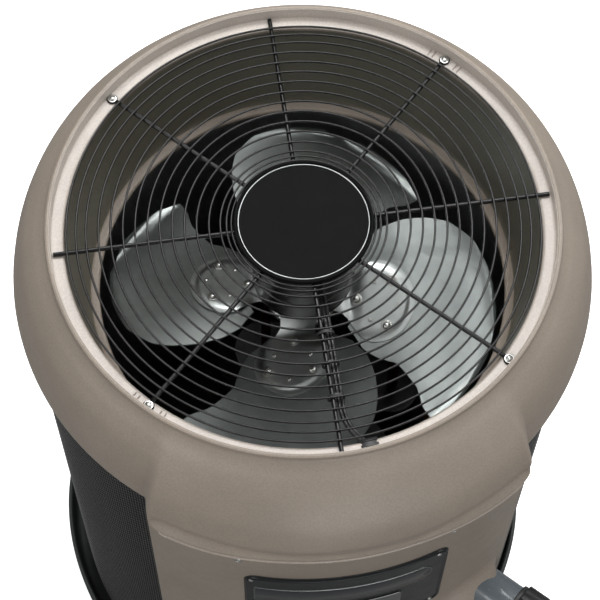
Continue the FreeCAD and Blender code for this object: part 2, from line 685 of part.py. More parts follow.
def make_control():
    """Control bezel with a label strip, display, three sprung buttons, screws and board."""
    foot = "bezel_top - bezel_height"
    body = curved_plate("bezel_body", "panel_radius + bezel_proud", "panel_radius",
                        f"{FRONT} - bezel_angle / 2", "bezel_angle", foot, "bezel_height")
    inner = curved_plate("bezel_inner", "panel_radius", "panel_radius - bezel_depth",
                         f"{FRONT} - bezel_angle / 2 + 1.1", "bezel_angle - 2.2",
                         f"{foot} + 9", "bezel_height - 18")
    label_seat = curved_plate("label_seat", "panel_radius + bezel_proud + 1",
                              "panel_radius + bezel_proud - 1.5", -107, 34,
                              "bezel_top - 88", 50)
    display_seat = curved_plate("display_seat", "panel_radius + bezel_proud + 1",
                                "panel_radius - bezel_depth - 1", -101, 22,
                                "bezel_top - 158", 50)
    tools = [label_seat, display_seat]
    buttons = []
    for name, angle in BUTTONS:
        tools.append(level_tube(f"{name}_hole", "button_radius + button_gap", None, 40, 410, 0,
                                "button_level", angle))
        buttons.append((name, level_tube(f"{name}_button", "button_radius", None, 13.5,
                                         "panel_radius - 7", 0, "button_level", angle)))
    screws = []
    for k, angle in enumerate((-107.6, -72.4)):
        for j, level in enumerate(("bezel_top - 9", f"{foot} + 5")):
            tools.append(level_tube(f"bezel_hole_{k}_{j}", 1.6, None, 20, 425, 0, level, angle))
            shank = level_tube(f"bezel_shank_{k}_{j}", 1.6, None, "panel_radius - 427", 432, 0,
                               level, angle)
            head = level_tube(f"bezel_head_{k}_{j}", 3.6, None, 1.6,
                              "panel_radius + bezel_proud", 0, level, angle)
            screws.append(fuse(f"bezel_screw_{k}_{j}", shank, head))
    pegs = [lay_along(cylinder(f"board_peg_{k}", 4, 14), FRONT, x, BOARD_FACE, z)
            for k, (x, z) in enumerate(BOARD_PEGS)]
    node("control_bezel", cut("bezel", fuse("bezel_solid", body, inner, *pegs), *tools))
    node("label_strip", curved_plate("label", "panel_radius + bezel_proud - 0.7",
                                     "panel_radius + bezel_proud - 1.5", -107, 34,
                                     "bezel_top - 88", 50))
    node("display_window", curved_plate("display", "panel_radius + bezel_proud - 1",
                                        "panel_radius - 2", -100.9, 21.8,
                                        "bezel_top - 157.6", 49.2))
    for name, obj in buttons:
        node(f"button_{name}", obj)
    node("bezel_screws", group("bezel_screw_set", screws))
    node("control_board", place(block("board", 180, 1.6, 150), x=-90, y=BOARD_FACE,
                                z="button_level - 20"))


def make_electrics():
    """Open steel box behind the panel with its contactor, capacitor, transformer and strip."""
    back = "box_front + box_depth"
    outside = place(block("box_outside", "box_width", "box_depth", "box_top - box_foot"),
                    x="-box_width / 2", y="box_front", z="box_foot")
    inside = place(block("box_inside", "box_width - 4", "box_depth - 2",
                         "box_top - box_foot - 4"),
                   x="-box_width / 2 + 2", y="box_front", z="box_foot + 2")
    x, y = along(CABLE_DROP, 0, CABLE_ANGLE)
    entry = place(cylinder("box_entry", "cable_radius + 1", 10), x=x, y=y, z="box_top - 6")
    node("electrical_box", cut("steel_box", outside, inside, entry))
    well = place(block("contactor_well", 30.8, 21, 24.8), x=-85.4, y=f"{back} - 52.5",
                 z="box_foot + 47.6")
    case = place(block("contactor_case", 60, 50, 70), x=-100, y=f"{back} - 52",
                 z="box_foot + 25")
    node("contactor", cut("contactor_body", case, well))
    node("contactor_armature", place(block("armature", 30, 12, 24), x=-85, y=f"{back} - 48",
                                     z="box_foot + 48"))
    node("run_capacitor", place(cylinder("capacitor", 25, 110), x=60, y=f"{back} - 28",
                                z="box_foot + 2"))
    node("transformer", place(block("transformer_core", 70, 50, 55), x=-95,
                              y=f"{back} - 52", z="box_foot + 150"))
    node("terminal_block", place(block("terminals", 90, 40, 30), x=5, y=f"{back} - 42",
                                 z="box_foot + 190"))


def make_refrigeration():
    """Compressor, heat exchanger, accumulator, drier and the copper lines between them."""
    body = revolved("compressor_body", [
        (0, "floor_level + 36"), ("compressor_radius - 14", "floor_level + 36"),
        ("compressor_radius", "floor_level + 50"),
        ("compressor_radius", "compressor_top - 24"),
        ("compressor_radius - 30", "compressor_top"), (0, "compressor_top")])
    foot = place(block("compressor_foot", 190, 190, 4), x=-95, y=-95, z="floor_level + 32")
    solid = fuse("compressor_solid", body, foot)
    wall = "vessel_wall"
    holes = [place(cylinder("compressor_space", f"compressor_radius - {wall}",
                            "compressor_top - floor_level - 74"), z="floor_level + 50")]
    holes += [place(cylinder(f"foot_hole_{k}", 8, 12), x=x, y=y, z="floor_level + 28")
              for k, (x, y) in enumerate(COMPRESSOR_FEET)]
    whole = cut("compressor_cut", solid, *holes)
    whole.Placement.Base = FreeCAD.Vector(*COMPRESSOR, 0)
    node("compressor", whole)
    node("compressor_pump", place(cylinder("pump", "pump_radius", "pump_height"), *COMPRESSOR,
                                  "floor_level + 50"))
    grommets = []
    for k, (x, y) in enumerate(COMPRESSOR_FEET):
        x, y = x + COMPRESSOR[0], y + COMPRESSOR[1]
        pad = place(cylinder(f"grommet_pad_{k}", 14, 32), x=x, y=y, z="floor_level")
        neck = place(cylinder(f"grommet_neck_{k}", 8, 4), x=x, y=y, z="floor_level + 32")
        cap = place(cylinder(f"grommet_cap_{k}", 13, 5), x=x, y=y, z="floor_level + 36")
        grommets.append(fuse(f"grommet_{k}", pad, neck, cap))
    node("compressor_grommets", group("grommet_set", grommets))

    ex, ey = (value_of(e) for e in along("exchanger_reach", "pipe_offset"))
    outside = cylinder("exchanger_outside", "exchanger_radius", "exchanger_top - floor_level")
    inside = cylinder("exchanger_inside", "exchanger_radius - 6",
                      "exchanger_top - floor_level - 12")
    place(outside, ex, ey, "floor_level")
    place(inside, ex, ey, "floor_level + 6")
    ports = [level_tube(f"port_{k}", "pipe_radius", None, 40, 216, "pipe_offset", level)
             for k, level in enumerate(("outlet_level", "inlet_level"))]
    node("heat_exchanger_shell", cut("exchanger", outside, inside, *ports))
    turns = [place(torus(f"coil_turn_{k}", 60, 8), ex, ey, f"floor_level + {40 + 24 * k}")
             for k in range(20)]
    node("heat_exchanger_coil", group("coil_turns", turns))
    vessel = place(cylinder("accumulator_body", "accumulator_radius", "accumulator_height"),
                   *ACCUMULATOR, "floor_level")
    space = place(cylinder("accumulator_space", f"accumulator_radius - {wall}",
                           f"accumulator_height - 2 * {wall}"),
                  *ACCUMULATOR, f"floor_level + {wall}")
    node("accumulator", cut("accumulator_vessel", vessel, space))
    node("filter_drier", place(cylinder("drier", "drier_radius", "drier_length"), DRIER_X, ey,
                               "drier_foot"))

    top = value_of("exchanger_top")
    header = value_of("coil_radius - coil_depth / 2 - 14")
    left = math.radians(value_of("coil_start + coil_sweep + 5.6"))
    right = math.radians(value_of("coil_start - 5.6"))
    left_end = (header * math.cos(left), header * math.sin(left), 540)
    right_end = (header * math.cos(right), header * math.sin(right), 720)
    cx, cy = COMPRESSOR
    ax, ay = ACCUMULATOR
    runs = [
        ("discharge", 8, [(cx, cy, value_of("compressor_top")), (cx, cy, 700), (ex, ey, 700),
                          (ex, ey, top)]),
        ("liquid", 5, [(ex - value_of("exchanger_radius"), ey, 90), (DRIER_X, ey, 90),
                       (DRIER_X, ey, value_of("drier_foot"))]),
        ("expansion", 5, [(DRIER_X, ey, value_of("drier_foot + drier_length")),
                          (DRIER_X, ey, 540), left_end]),
        ("suction", 9.5, [right_end, (ax, -195, 720), (ax, ay, 720), (ax, ay, 330)]),
        ("return", 9.5, [(ax - 44, ay + 12, 250), (cx + 83 * 0.965, cy - 22, 250)]),
    ]
    node("refrigerant_lines", group("copper_lines", [
        feature(f"{name}_line", bent_tube(points, radius)) for name, radius, points in runs]))


def make_plumbing():
    """Water pipes from the exchanger to the outside, each with a union and its nut."""
    pipes, bodies, seals, tails, nuts = [], [], [], [], []
    for name, level in (("outlet", "outlet_level"), ("inlet", "inlet_level")):
        pipes.append(level_tube(f"{name}_pipe", "pipe_radius", "pipe_bore",
                                "pipe_end - pipe_start", "pipe_start", "pipe_offset", level))
        bodies.append(level_tube(f"{name}_union", "union_radius", "pipe_radius",
                                 "pipe_end - union_start", "union_start", "pipe_offset", level))
        seals.append(level_tube(f"{name}_seal", 35, 31, 3, "pipe_end", "pipe_offset", level))
        collar = level_tube(f"{name}_collar", "union_radius", "pipe_bore", 5, "pipe_end + 3",
                            "pipe_offset", level)
        tail = level_tube(f"{name}_tail", 35.5, "pipe_bore", 52, "pipe_end + 8",
                          "pipe_offset", level)
        socket = level_tube(f"{name}_socket", "socket_bore", None, "socket_depth + 1",
                            "pipe_end + 60 - socket_depth", "pipe_offset", level)
        tails.append(cut(f"{name}_tailpiece", fuse(f"{name}_tail_solid", collar, tail),
                         socket))
        start = "pipe_end - nut_reach"
        thread = "nut_length - 8"
        sleeve = level_tube(f"{name}_sleeve", "nut_radius", "union_radius + 0.4", thread, start,
                            "pipe_offset", level)
        lip = level_tube(f"{name}_lip", "nut_radius", 35.9, 8, f"{start} + {thread}",
                         "pipe_offset", level)
        ribs = []
        for k in range(12):
            turn = math.radians(30 * k)
            x, y = along(start, f"pipe_offset + nut_radius * {math.cos(turn)}")
            ribs.append(lay_along(cylinder(f"{name}_rib_{k}", "nut_rib", "nut_length"),
                                  PIPE_ANGLE, x, y, f"{level} + nut_radius * {math.sin(turn)}"))
        bore = level_tube(f"{name}_thread", "union_radius + 0.4", None, thread, start,
                          "pipe_offset", level)
        nut = cut(f"{name}_nut", fuse(f"{name}_nut_solid", sleeve, lip, *ribs), bore)
        nuts.append((name, nut))
    node("water_pipes", group("pipe_pair", pipes))
    node("union_bodies", group("union_pair", bodies))
    node("union_seals", group("seal_pair", seals))
    node("union_tailpieces", group("tail_pair", tails))
    for name, nut in nuts:
        node(f"union_nut_{name}", nut)
    fitting = fuse("conduit_solid",
                   level_tube("conduit_tube", 17, None, 26, "panel_radius + 0.2", 0, 300,
                              POWER_ANGLE),
                   level_tube("conduit_neck", 13.4, None, 22, "panel_radius - 14", 0, 300,
                              POWER_ANGLE))
    bore = level_tube("conduit_bore", 10.6, None, 60, "panel_radius - 20", 0, 300,
                      POWER_ANGLE)
    mouth = level_tube("conduit_mouth", 13.4, None, 24, "panel_radius + 4.2", 0, 300,
                       POWER_ANGLE)
    node("conduit_fitting", cut("conduit", fitting, bore, mouth))


def broken(obj):
    """True if an object or its shape failed."""
    if set(obj.State) & {"Invalid", "Error"}:
        return True
    shape = getattr(obj, "Shape", None)
    return obj in nodes.values() and (shape is None or shape.isNull() or not shape.isValid())


def main():
    for make in (make_base, make_shroud, make_panel, make_posts, make_coil, make_guard,
                 make_motor, make_fan, make_cable, make_control, make_electrics,
                 make_refrigeration, make_plumbing):
        make()
    doc.recompute()
    failed = [obj.Name for obj in doc.Objects if broken(obj)]
    if failed:
        raise RuntimeError(f"these objects failed: {failed}")
    os.makedirs("parts", exist_ok=True)
    for name, obj in nodes.items():
        obj.Shape.exportStep(f"parts/{name}.step")
    print(len(nodes), "nodes")


main()
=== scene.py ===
"""Looks of a round pool and spa heat pump unit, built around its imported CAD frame.

Metres, +Z up, the fan axis is X = Y = 0 and the control panel faces -Y. Angles are measured
from +X, in degrees, so the front is at -90.
"""
import json
import math

import bmesh
import bpy
from mathutils import Matrix, Vector


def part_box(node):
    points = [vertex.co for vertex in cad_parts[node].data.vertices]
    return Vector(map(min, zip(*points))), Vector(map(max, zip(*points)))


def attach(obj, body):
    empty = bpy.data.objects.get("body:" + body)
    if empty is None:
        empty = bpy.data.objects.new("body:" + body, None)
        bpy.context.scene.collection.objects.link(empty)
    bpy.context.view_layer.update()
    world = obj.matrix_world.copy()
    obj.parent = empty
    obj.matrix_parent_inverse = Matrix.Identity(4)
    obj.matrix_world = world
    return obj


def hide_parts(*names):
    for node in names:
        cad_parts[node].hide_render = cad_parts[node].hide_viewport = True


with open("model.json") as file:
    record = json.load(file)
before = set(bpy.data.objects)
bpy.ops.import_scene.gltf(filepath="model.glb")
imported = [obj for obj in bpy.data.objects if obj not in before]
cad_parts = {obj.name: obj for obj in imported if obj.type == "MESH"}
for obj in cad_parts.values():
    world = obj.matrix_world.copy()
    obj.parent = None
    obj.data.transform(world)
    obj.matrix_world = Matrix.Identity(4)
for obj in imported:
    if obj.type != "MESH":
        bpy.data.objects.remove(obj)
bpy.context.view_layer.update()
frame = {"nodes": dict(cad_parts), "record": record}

FRONT = -90.0
RIM_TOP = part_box("top_shroud")[1].z
SHROUD_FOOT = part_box("front_panel")[1].z + 0.0004
SHROUD_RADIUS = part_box("top_shroud")[1].x
BIB_RADIUS = -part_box("top_shroud")[0].y
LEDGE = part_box("guard_spokes")[0].z
RIM_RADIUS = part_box("guard_spokes")[1].x + 0.002
RIM_WALL = 0.007
LEDGE_RADIUS = 0.329
LIP_LEVEL = 0.894
THROAT_RADIUS = 0.293
BIB_HALF = 39.0
PANEL_HALF = 38.0
PANEL_RADIUS = 0.431
FLOOR_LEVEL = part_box("front_panel")[0].z
SPOKE_WIRE = (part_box("guard_spokes")[1].z - LEDGE) / 2
EYELET_RADIUS = 0.338
BADGE_FOOT, BADGE_TOP = (corner.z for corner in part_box("badge"))
BADGE_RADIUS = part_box("badge")[1].y
FAN_LEVEL = 0.851
FAN_ANGLE = -15
BLADE_PITCH = math.radians(20)
BLADE_GAUGE = 0.002
SPIDER_GAUGE = 0.003
PIPE_ANGLE = -45
PIPE_OFFSET = -0.111
PIPE_LEVELS = {"outlet": 0.541, "inlet": 0.341}
CABLE_ANGLE = -83.5
CABLE_DROP = 0.338


# ---------------------------------------------------------------- small numeric helpers

def polar(radius, angle, z=0.0):
    turn = math.radians(angle)
    return Vector((radius * math.cos(turn), radius * math.sin(turn), z))


def smooth(value, low, high):
    """0 below low, 1 above high, with an eased rise between them."""
    t = min(max((value - low) / (high - low), 0.0), 1.0)
    return t * t * (3 - 2 * t)


def table(pairs, x):
    """Linear interpolation in a short list of (x, y)."""
    for (x0, y0), (x1, y1) in zip(pairs, pairs[1:]):
        if x <= x1:
            return y0 + (y1 - y0) * (max(x, x0) - x0) / (x1 - x0)
    return pairs[-1][1]


def curve_through(points, steps=6):
    """Catmull-Rom points through a list of equal-length tuples."""
    ends = [points[0]] + list(points) + [points[-1]]
    line = []
    for p0, p1, p2, p3 in zip(ends, ends[1:], ends[2:], ends[3:]):
        for i in range(steps):
            t = i / steps
            line.append(tuple(
                0.5 * (2 * b + (c - a) * t + (2 * a - 5 * b + 4 * c - d) * t * t
                       + (3 * b - a - 3 * c + d) * t ** 3)
                for a, b, c, d in zip(p0, p1, p2, p3)))
    line.append(tuple(points[-1]))
    return line


def round_corners(points, radius, steps=4, closed=True):
    """A line of points with each corner cut round, never by more than its sides allow."""
    before, after = (points[-1:] + points[:-1], points[1:] + points[:1])
    if not closed:
        before, points, after = points, points[1:-1], points[2:]
    line = []
    for back, here, ahead in zip(before, points, after):
        here, back, ahead = Vector(here), Vector(back), Vector(ahead)
        reach = min(radius, (back - here).length * 0.45, (ahead - here).length * 0.45)
        first = here + (back - here).normalized() * reach
        last = here + (ahead - here).normalized() * reach
        for i in range(steps + 1):
            t = i / steps
            line.append(tuple(first * (1 - t) ** 2 + here * 2 * t * (1 - t) + last * t * t))
    return line if closed else [before[0], *line, after[-1]]


def ring_outline(inner, outer, high, edge, steps):
    """Closed outline of a flat ring that stands on the local XY plane."""
    return round_corners([(inner, 0), (outer, 0), (outer, high), (inner, high)], edge, steps)


# ---------------------------------------------------------------- mesh helpers

def add_object(name, data):
    made = bpy.data.objects.new(name, data)
    bpy.context.scene.collection.objects.link(made)
    return made


def finish_mesh(name, mesh, material, replaced=None, slot=None, body="root", flat=False):
    """Puts a bmesh into the scene as a piece that rides on a body, in place of a CAD node."""
    bmesh.ops.remove_doubles(mesh, verts=mesh.verts, dist=1e-6)
    bmesh.ops.recalc_face_normals(mesh, faces=mesh.faces)
    data = bpy.data.meshes.new(name)
    mesh.to_mesh(data)
    mesh.free()
    piece = add_object(name, data)
    data.materials.append(MATERIALS[material])
    if not flat:
        data.shade_smooth()
        data.set_sharp_from_angle(angle=math.radians(35))
    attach(piece, body)
    slot or material
    if replaced:
        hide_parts(replaced)
    return piece


def loops_mesh(mesh, loops, closed_stack=False, caps=False):
    """Quads between successive closed loops of points. Returns the vertices, loop by loop."""
    rows = [[mesh.verts.new(p) for p in loop] for loop in loops]
    count = len(rows[0])
    pairs = list(zip(rows, rows[1:]))
    if closed_stack:
        pairs.append((rows[-1], rows[0]))
    for low, high in pairs:
        for i in range(count):
            j = (i + 1) % count
            mesh.faces.new((low[i], low[j], high[j], high[i]))
    if caps:
        mesh.faces.new(list(reversed(rows[0])))
        mesh.faces.new(rows[-1])
    return rows


def lathe(mesh, outline, steps=96, place=None):
    """Turns a closed (r, z) outline once round Z."""
    loops = []
    for i in range(steps):
        loop = [polar(r, 360.0 * i / steps, z) for r, z in outline]
        loops.append([place @ p for p in loop] if place else loop)
    loops_mesh(mesh, loops, closed_stack=True)


def disc_outline(radius, low, high, edge):
    """Closed outline of a disc with rounded edges."""
    near = 1e-5
    rounded = round_corners([(near, low), (radius, low), (radius, high), (near, high)], edge)
    middle = [p for p in rounded if p[0] > radius * 0.5]
    return [(near, low)] + middle + [(near, high)]


def tube_along(mesh, points, radius, sides=12):
    """A round tube along a list of points, with its frame carried along and ends closed."""
    points = [Vector(p) for p in points]
    heading = (points[1] - points[0]).normalized()
    side = heading.orthogonal().normalized()
    loops = []
    for i, point in enumerate(points):
        ahead = points[min(i + 1, len(points) - 1)] - points[max(i - 1, 0)]
        heading = ahead.normalized()
        side = (side - heading * side.dot(heading)).normalized()
        other = heading.cross(side)
        loops.append([point + (side * math.cos(a) + other * math.sin(a)) * radius
                      for a in (2 * math.pi * k / sides for k in range(sides))])
    loops_mesh(mesh, loops, caps=True)


def ring_tube(mesh, radius, wire, level, steps=180, sides=12):
    """A closed wire ring about Z."""
    loops = []
    for i in range(steps):
        angle = 360 * i / steps
        loops.append([polar(radius + wire * math.cos(a), angle, level + wire * math.sin(a))
                      for a in (2 * math.pi * k / sides for k in range(sides))])
    loops_mesh(mesh, loops, closed_stack=True)


def outward(angle, origin):
    """Local +Z points straight out of the cabinet at an angle, +Y up."""
    out, up = polar(1, angle), Vector((0, 0, 1))
    turn = Matrix((up.cross(out), up, out)).transposed().to_4x4()
    return Matrix.Translation(origin) @ turn


def facing(angle, radius, level):
    """A place on the cabinet's side, looking outwards."""
    return outward(angle, polar(radius, angle, level))


def along_pipe(distance, level):
    """A place on the axis of a water pipe, looking outwards along it."""
    out, up = polar(1, PIPE_ANGLE), Vector((0, 0, 1))
    return outward(PIPE_ANGLE, out * distance + up.cross(out) * PIPE_OFFSET + up * level)


def thin_sheet(mesh, grids):
    """Closes two matching grids of vertices, lower and upper, into one thin sheet."""
    rows, columns = len(grids[0]) - 1, len(grids[0][0]) - 1
    for index, grid in enumerate(grids):
        for i in range(rows):
            for j in range(columns):
                quad = (grid[i][j], grid[i][j + 1], grid[i + 1][j + 1], grid[i + 1][j])
                mesh.faces.new(quad if index else quad[::-1])
    border = [(0, j) for j in range(columns)] + [(i, columns) for i in range(rows)]
    border += [(rows, j) for j in range(columns, 0, -1)] + [(i, 0) for i in range(rows, 0, -1)]
    for (a, b), (c, d) in zip(border, border[1:] + border[:1]):
        mesh.faces.new((grids[0][a][b], grids[0][c][d], grids[1][c][d], grids[1][a][b]))


def screw_head(mesh, place, radius, height, recess=True):
    """A domed screw head with a cross recess, on the local XY plane."""
    rings, sides = 9, 48
    turns = [2 * math.pi * k / sides for k in range(sides)]
    rows = []
    for j in range(rings):
        share = j / (rings - 1)
        r = radius * share
        row = []
        for turn in turns:
            x, y = r * math.cos(turn), r * math.sin(turn)
            z = height * math.sqrt(max(0.0, 1 - 0.8 * share ** 2.4))
            if recess and min(abs(x), abs(y)) < radius * 0.13 and share < 0.62:
                z -= height * 0.45
            row.append(place @ Vector((x, y, z)))
        rows.append(row)
    rows.append([place @ Vector((radius * math.cos(turn), radius * math.sin(turn), 0))
                 for turn in turns])
    made = loops_mesh(mesh, rows)
    mesh.faces.new(list(made[-1]))


def washer(mesh, place, radius, inner, thick):
    lathe(mesh, ring_outline(inner, radius, thick, thick * 0.35, 2), 40, place=place)


# ---------------------------------------------------------------- materials

class Tree:
    """Short way to build a shader tree: an input is given a value or the socket that drives it."""

    def __init__(self, owner):
        owner.use_nodes = True
        self.nodes, self.links = owner.node_tree.nodes, owner.node_tree.links

    def feed(self, node, inputs):
        for key, value in inputs.items():
            if isinstance(value, bpy.types.NodeSocket):
                self.links.new(value, node.inputs[key])
            else:
                node.inputs[key].default_value = value

    def add(self, kind, inputs, result, **settings):
        """Adds a node and returns one of its outputs."""
        made = self.nodes.new(kind)
        for key, value in settings.items():
            setattr(made, key, value)
        self.feed(made, inputs)
        return made.outputs[result]


class Nodes(Tree):
    """The shader tree of a new material with one Principled BSDF."""

    def __init__(self, name):
        self.material = bpy.data.materials.new(name)
        super().__init__(self.material)
        self.shader = self.nodes["Principled BSDF"]
        self.place = self.add("ShaderNodeTexCoord", {}, "Object")

    def stretched(self, scale):
        return self.add("ShaderNodeMapping", {"Vector": self.place, "Scale": scale}, "Vector")

    def noise(self, scale, detail=3.0, vector=None, roughness=0.55):
        return self.add("ShaderNodeTexNoise", {
            "Vector": vector or self.place, "Scale": scale, "Detail": detail,
            "Roughness": roughness}, "Fac")

    def ramp(self, source, stops):
        """A colour ramp between two (place, colour) stops."""
        made = self.add("ShaderNodeValToRGB", {"Fac": source}, "Color")
        for mark, (place, colour) in zip(made.node.color_ramp.elements, stops):
            mark.position = place
            mark.color = (*colour, 1)
        return made

    def spread(self, source, low, high):
        return self.add("ShaderNodeMapRange", {"Value": source, "To Min": low, "To Max": high},
                        "Result")

    def multiply(self, factor, first, second):
        """Colours multiplied; 6, 7 and 2 are the colour sockets of the node."""
        return self.add("ShaderNodeMix", {"Factor": factor, 6: first, 7: second}, 2,
                        data_type="RGBA", blend_type="MULTIPLY")

    def bump(self, source, strength, distance=0.001):
        return self.add("ShaderNodeBump", {
            "Height": source, "Strength": strength, "Distance": distance}, "Normal")

    def use(self, colour, roughness, normal, others):
        self.feed(self.shader, {"Base Color": colour, "Roughness": roughness, "Normal": normal,
                                **others})
        return self.material


def shade(colour, factor):
    return tuple(min(1.0, c * factor) for c in colour)


def moulded(name, colour, grain=0.25, roughness=0.5, coat=0.0, sheen=0.5):
    """Moulded plastic with a fine leathery grain, faint mottling and worn, duller patches."""
    n = Nodes(name)
    fine = n.noise(1500.0, 2.0)
    broad = n.noise(9.0, 4.0)
    patches = n.noise(55.0, 5.0)
    tone = n.ramp(broad, [(0.3, shade(colour, 0.93)), (0.7, shade(colour, 1.06))])
    speck = n.ramp(n.noise(420.0, 1.0), [(0.36, (0.74, 0.74, 0.74)), (0.64, (1.0, 1.0, 1.0))])
    tint = n.multiply(0.5, tone, speck)
    return n.use(tint, n.spread(patches, roughness - 0.07, roughness + 0.09),
                 n.bump(fine, grain, 0.0004), {"Coat Weight": coat, "Specular IOR Level": sheen})


def brushed(name, colour, roughness=0.32, lines=(1.0, 1.0, 60.0), strength=0.12):
    """Brushed metal: fine streaks along one axis, cloudy tarnish and a few darker smears."""
    n = Nodes(name)
    streaks = n.noise(90.0, 4.0, n.stretched(lines), 0.7)
    cloud = n.noise(7.0, 5.0)
    smear = n.noise(28.0, 3.0)
    tone = n.ramp(cloud, [(0.3, shade(colour, 0.86)), (0.72, shade(colour, 1.1))])
    dull = n.ramp(smear, [(0.36, (0.86, 0.87, 0.86)), (0.6, (1.0, 1.0, 1.0))])
    tint = n.multiply(0.6, tone, dull)
    return n.use(tint, n.spread(streaks, roughness - 0.08, roughness + 0.14),
                 n.bump(streaks, strength, 0.0004), {"Metallic": 1.0})


def painted(name, colour, roughness=0.3, coat=0.0, texture=0.06, sheen=0.5):
    """Paint or powder coat with slight orange peel and dust."""
    n = Nodes(name)
    peel = n.noise(700.0, 2.0)
    dust = n.noise(40.0, 6.0)
    tone = n.ramp(dust, [(0.35, shade(colour, 0.85)), (0.75, shade(colour, 1.25))])
    return n.use(tone, n.spread(dust, roughness - 0.06, roughness + 0.1),
                 n.bump(peel, texture, 0.0005), {"Coat Weight": coat, "Specular IOR Level": sheen})


def fins(name):
    """Edges of closely stacked aluminium fins with painted shade in the gaps between them, and
    bent and dusty stretches.
    """
    n = Nodes(name)
    wave = n.add("ShaderNodeTexWave", {
        "Vector": n.place, "Scale": 170.0, "Distortion": 1.5, "Detail": 2.0}, "Fac",
                 wave_type="BANDS", bands_direction="Z")
    dust = n.noise(14.0, 5.0)
    # The lighter bands are the fin edges; the dark bands between them are painted shade in the
    # gaps between the fins.
    metal = n.ramp(wave, [(0.25, (0.03, 0.03, 0.032)), (0.7, (0.4, 0.41, 0.42))])
    tint = n.multiply(0.5, metal, n.ramp(dust, [(0.3, (0.5, 0.5, 0.48)), (0.7, (1, 1, 1))]))
    return n.use(tint, n.spread(dust, 0.4, 0.65), n.bump(wave, 0.6), {"Metallic": 0.8})


def circuit(name):
    """Green board with lighter copper tracks under the lacquer."""
    n = Nodes(name)
    tracks = n.add("ShaderNodeTexBrick", {
        "Vector": n.stretched((1.0, 0.0, 1.0)), "Scale": 60.0, "Mortar Size": 0.03,
        "Color1": (0.015, 0.09, 0.035, 1), "Color2": (0.02, 0.11, 0.045, 1),
        "Mortar": (0.07, 0.22, 0.08, 1)}, "Color")
    return n.use(tracks, n.spread(n.noise(60.0, 3.0), 0.25, 0.45),
                 n.bump(tracks.node.outputs["Fac"], 0.2, 0.0003), {"Coat Weight": 0.4})


TAN = (0.282, 0.236, 0.193)
TAN_PANEL = (0.258, 0.219, 0.180)
# By slot name: Blender adds ".001" where the CAD has a material of that name.
MATERIALS = {made.name.split(".")[0]: made for made in (
    moulded("shroud_plastic", TAN, 0.16, 0.40),
    # Painted light: a lighter copy of the shroud plastic for the up-facing shelf, which is the
    # same moulding.
    moulded("shelf_painted_light", (0.53, 0.475, 0.425), 0.12, 0.34),
    # Painted shade: a much darker copy of the shroud plastic for the deep throat wall, which is
    # the same moulding.
    moulded("throat_painted_shade", (0.118, 0.111, 0.084), 0.16, 0.44),
    moulded("panel_plastic", TAN_PANEL, 0.16, 0.44),
    # Painted highlight: a lighter, glossier copy of the panel plastic for the rolled seam edge.
    moulded("seam_painted_highlight", (0.385, 0.335, 0.285), 0.05, 0.24),
    moulded("base_plastic", (0.034, 0.039, 0.0375), 0.3, 0.5),
    painted("mesh_plastic", (0.008, 0.008, 0.008), 0.4, texture=0.15, sheen=0.25),
    # Painted glint: the mesh's own black plastic shown light grey on the knots where the wires
    # cross.
    painted("mesh_knots", (0.155, 0.157, 0.155), 0.3, texture=0.05),
    fins("coil_fins"),
    brushed("copper", (0.20, 0.095, 0.058), 0.42),
    brushed("galvanised", (0.46, 0.47, 0.48), 0.42, (1.0, 1.0, 1.0), 0.05),
    painted("guard_wire", (0.003, 0.003, 0.003), 0.22, coat=0.12, sheen=0.3),
    moulded("badge_plastic", (0.0052, 0.0052, 0.0052), 0.12, 0.5, sheen=0.04),
    brushed("badge_trim", (0.30, 0.31, 0.31), 0.34, (1.0, 1.0, 1.0), 0.03),
    brushed("blade_aluminium", (0.345, 0.372, 0.364), 0.30, (1.0, 24.0, 1.0)),
    brushed("spider_steel", (0.52, 0.55, 0.54), 0.3, (1.0, 1.0, 1.0), 0.06),
    brushed("fastener_steel", (0.52, 0.52, 0.50), 0.26, (1.0, 1.0, 1.0), 0.04),
    painted("motor_paint", (0.008, 0.008, 0.008), 0.32, coat=0.3),
    brushed("motor_core", (0.22, 0.22, 0.23), 0.5),
    brushed("bearing_steel", (0.7, 0.7, 0.71), 0.18, (1.0, 1.0, 30.0), 0.04),
    moulded("cable_rubber", (0.010, 0.010, 0.011), 0.3, 0.38),
    moulded("bezel_plastic", (0.0085, 0.0102, 0.0112), 0.08, 0.30, coat=0.12, sheen=0.22),
    painted("label_film", (0.011, 0.013, 0.016), 0.22, coat=0.25, texture=0.02),
    painted("display_glass", (0.004, 0.0045, 0.005), 0.12, coat=0.9, texture=0.01),
    moulded("button_plastic", (0.07, 0.07, 0.073), 0.2, 0.45),
    circuit("board"),
    painted("box_steel", (0.16, 0.165, 0.165), 0.42, texture=0.1),
    moulded("device_plastic", (0.02, 0.02, 0.022), 0.3, 0.5),
    painted("vessel_paint", (0.006, 0.006, 0.0065), 0.4, coat=0.2, texture=0.15),
    moulded("exchanger_plastic", (0.025, 0.025, 0.026), 0.35, 0.5),
    brushed("titanium", (0.42, 0.40, 0.38), 0.36),
    moulded("pvc_grey", (0.115, 0.137, 0.155), 0.05, 0.24, coat=0.35),
    moulded("union_black", (0.016, 0.017, 0.018), 0.2, 0.34),
    moulded("seal_rubber", (0.012, 0.012, 0.012), 0.3, 0.6),
)}


def finish_cad_nodes():
    """Gives each CAD node that stays the material of its slot."""
    for entry in frame["record"]["subparts"]:
        node = frame["nodes"][entry["node"]]
        material = MATERIALS[entry["material_slot"]]
        if not node.data.materials:
            node.data.materials.append(material)
        for index in range(len(node.material_slots)):
            node.material_slots[index].material = material


# ---------------------------------------------------------------- cabinet

def from_front(angle):
    return abs((angle - FRONT + 180) % 360 - 180)


def bib_share(angle, half):
    """1 across the front bulge, 0 round the rest, with a soft crease between them."""
    return 1 - smooth(from_front(angle), half - 3.0, half + 0.7)


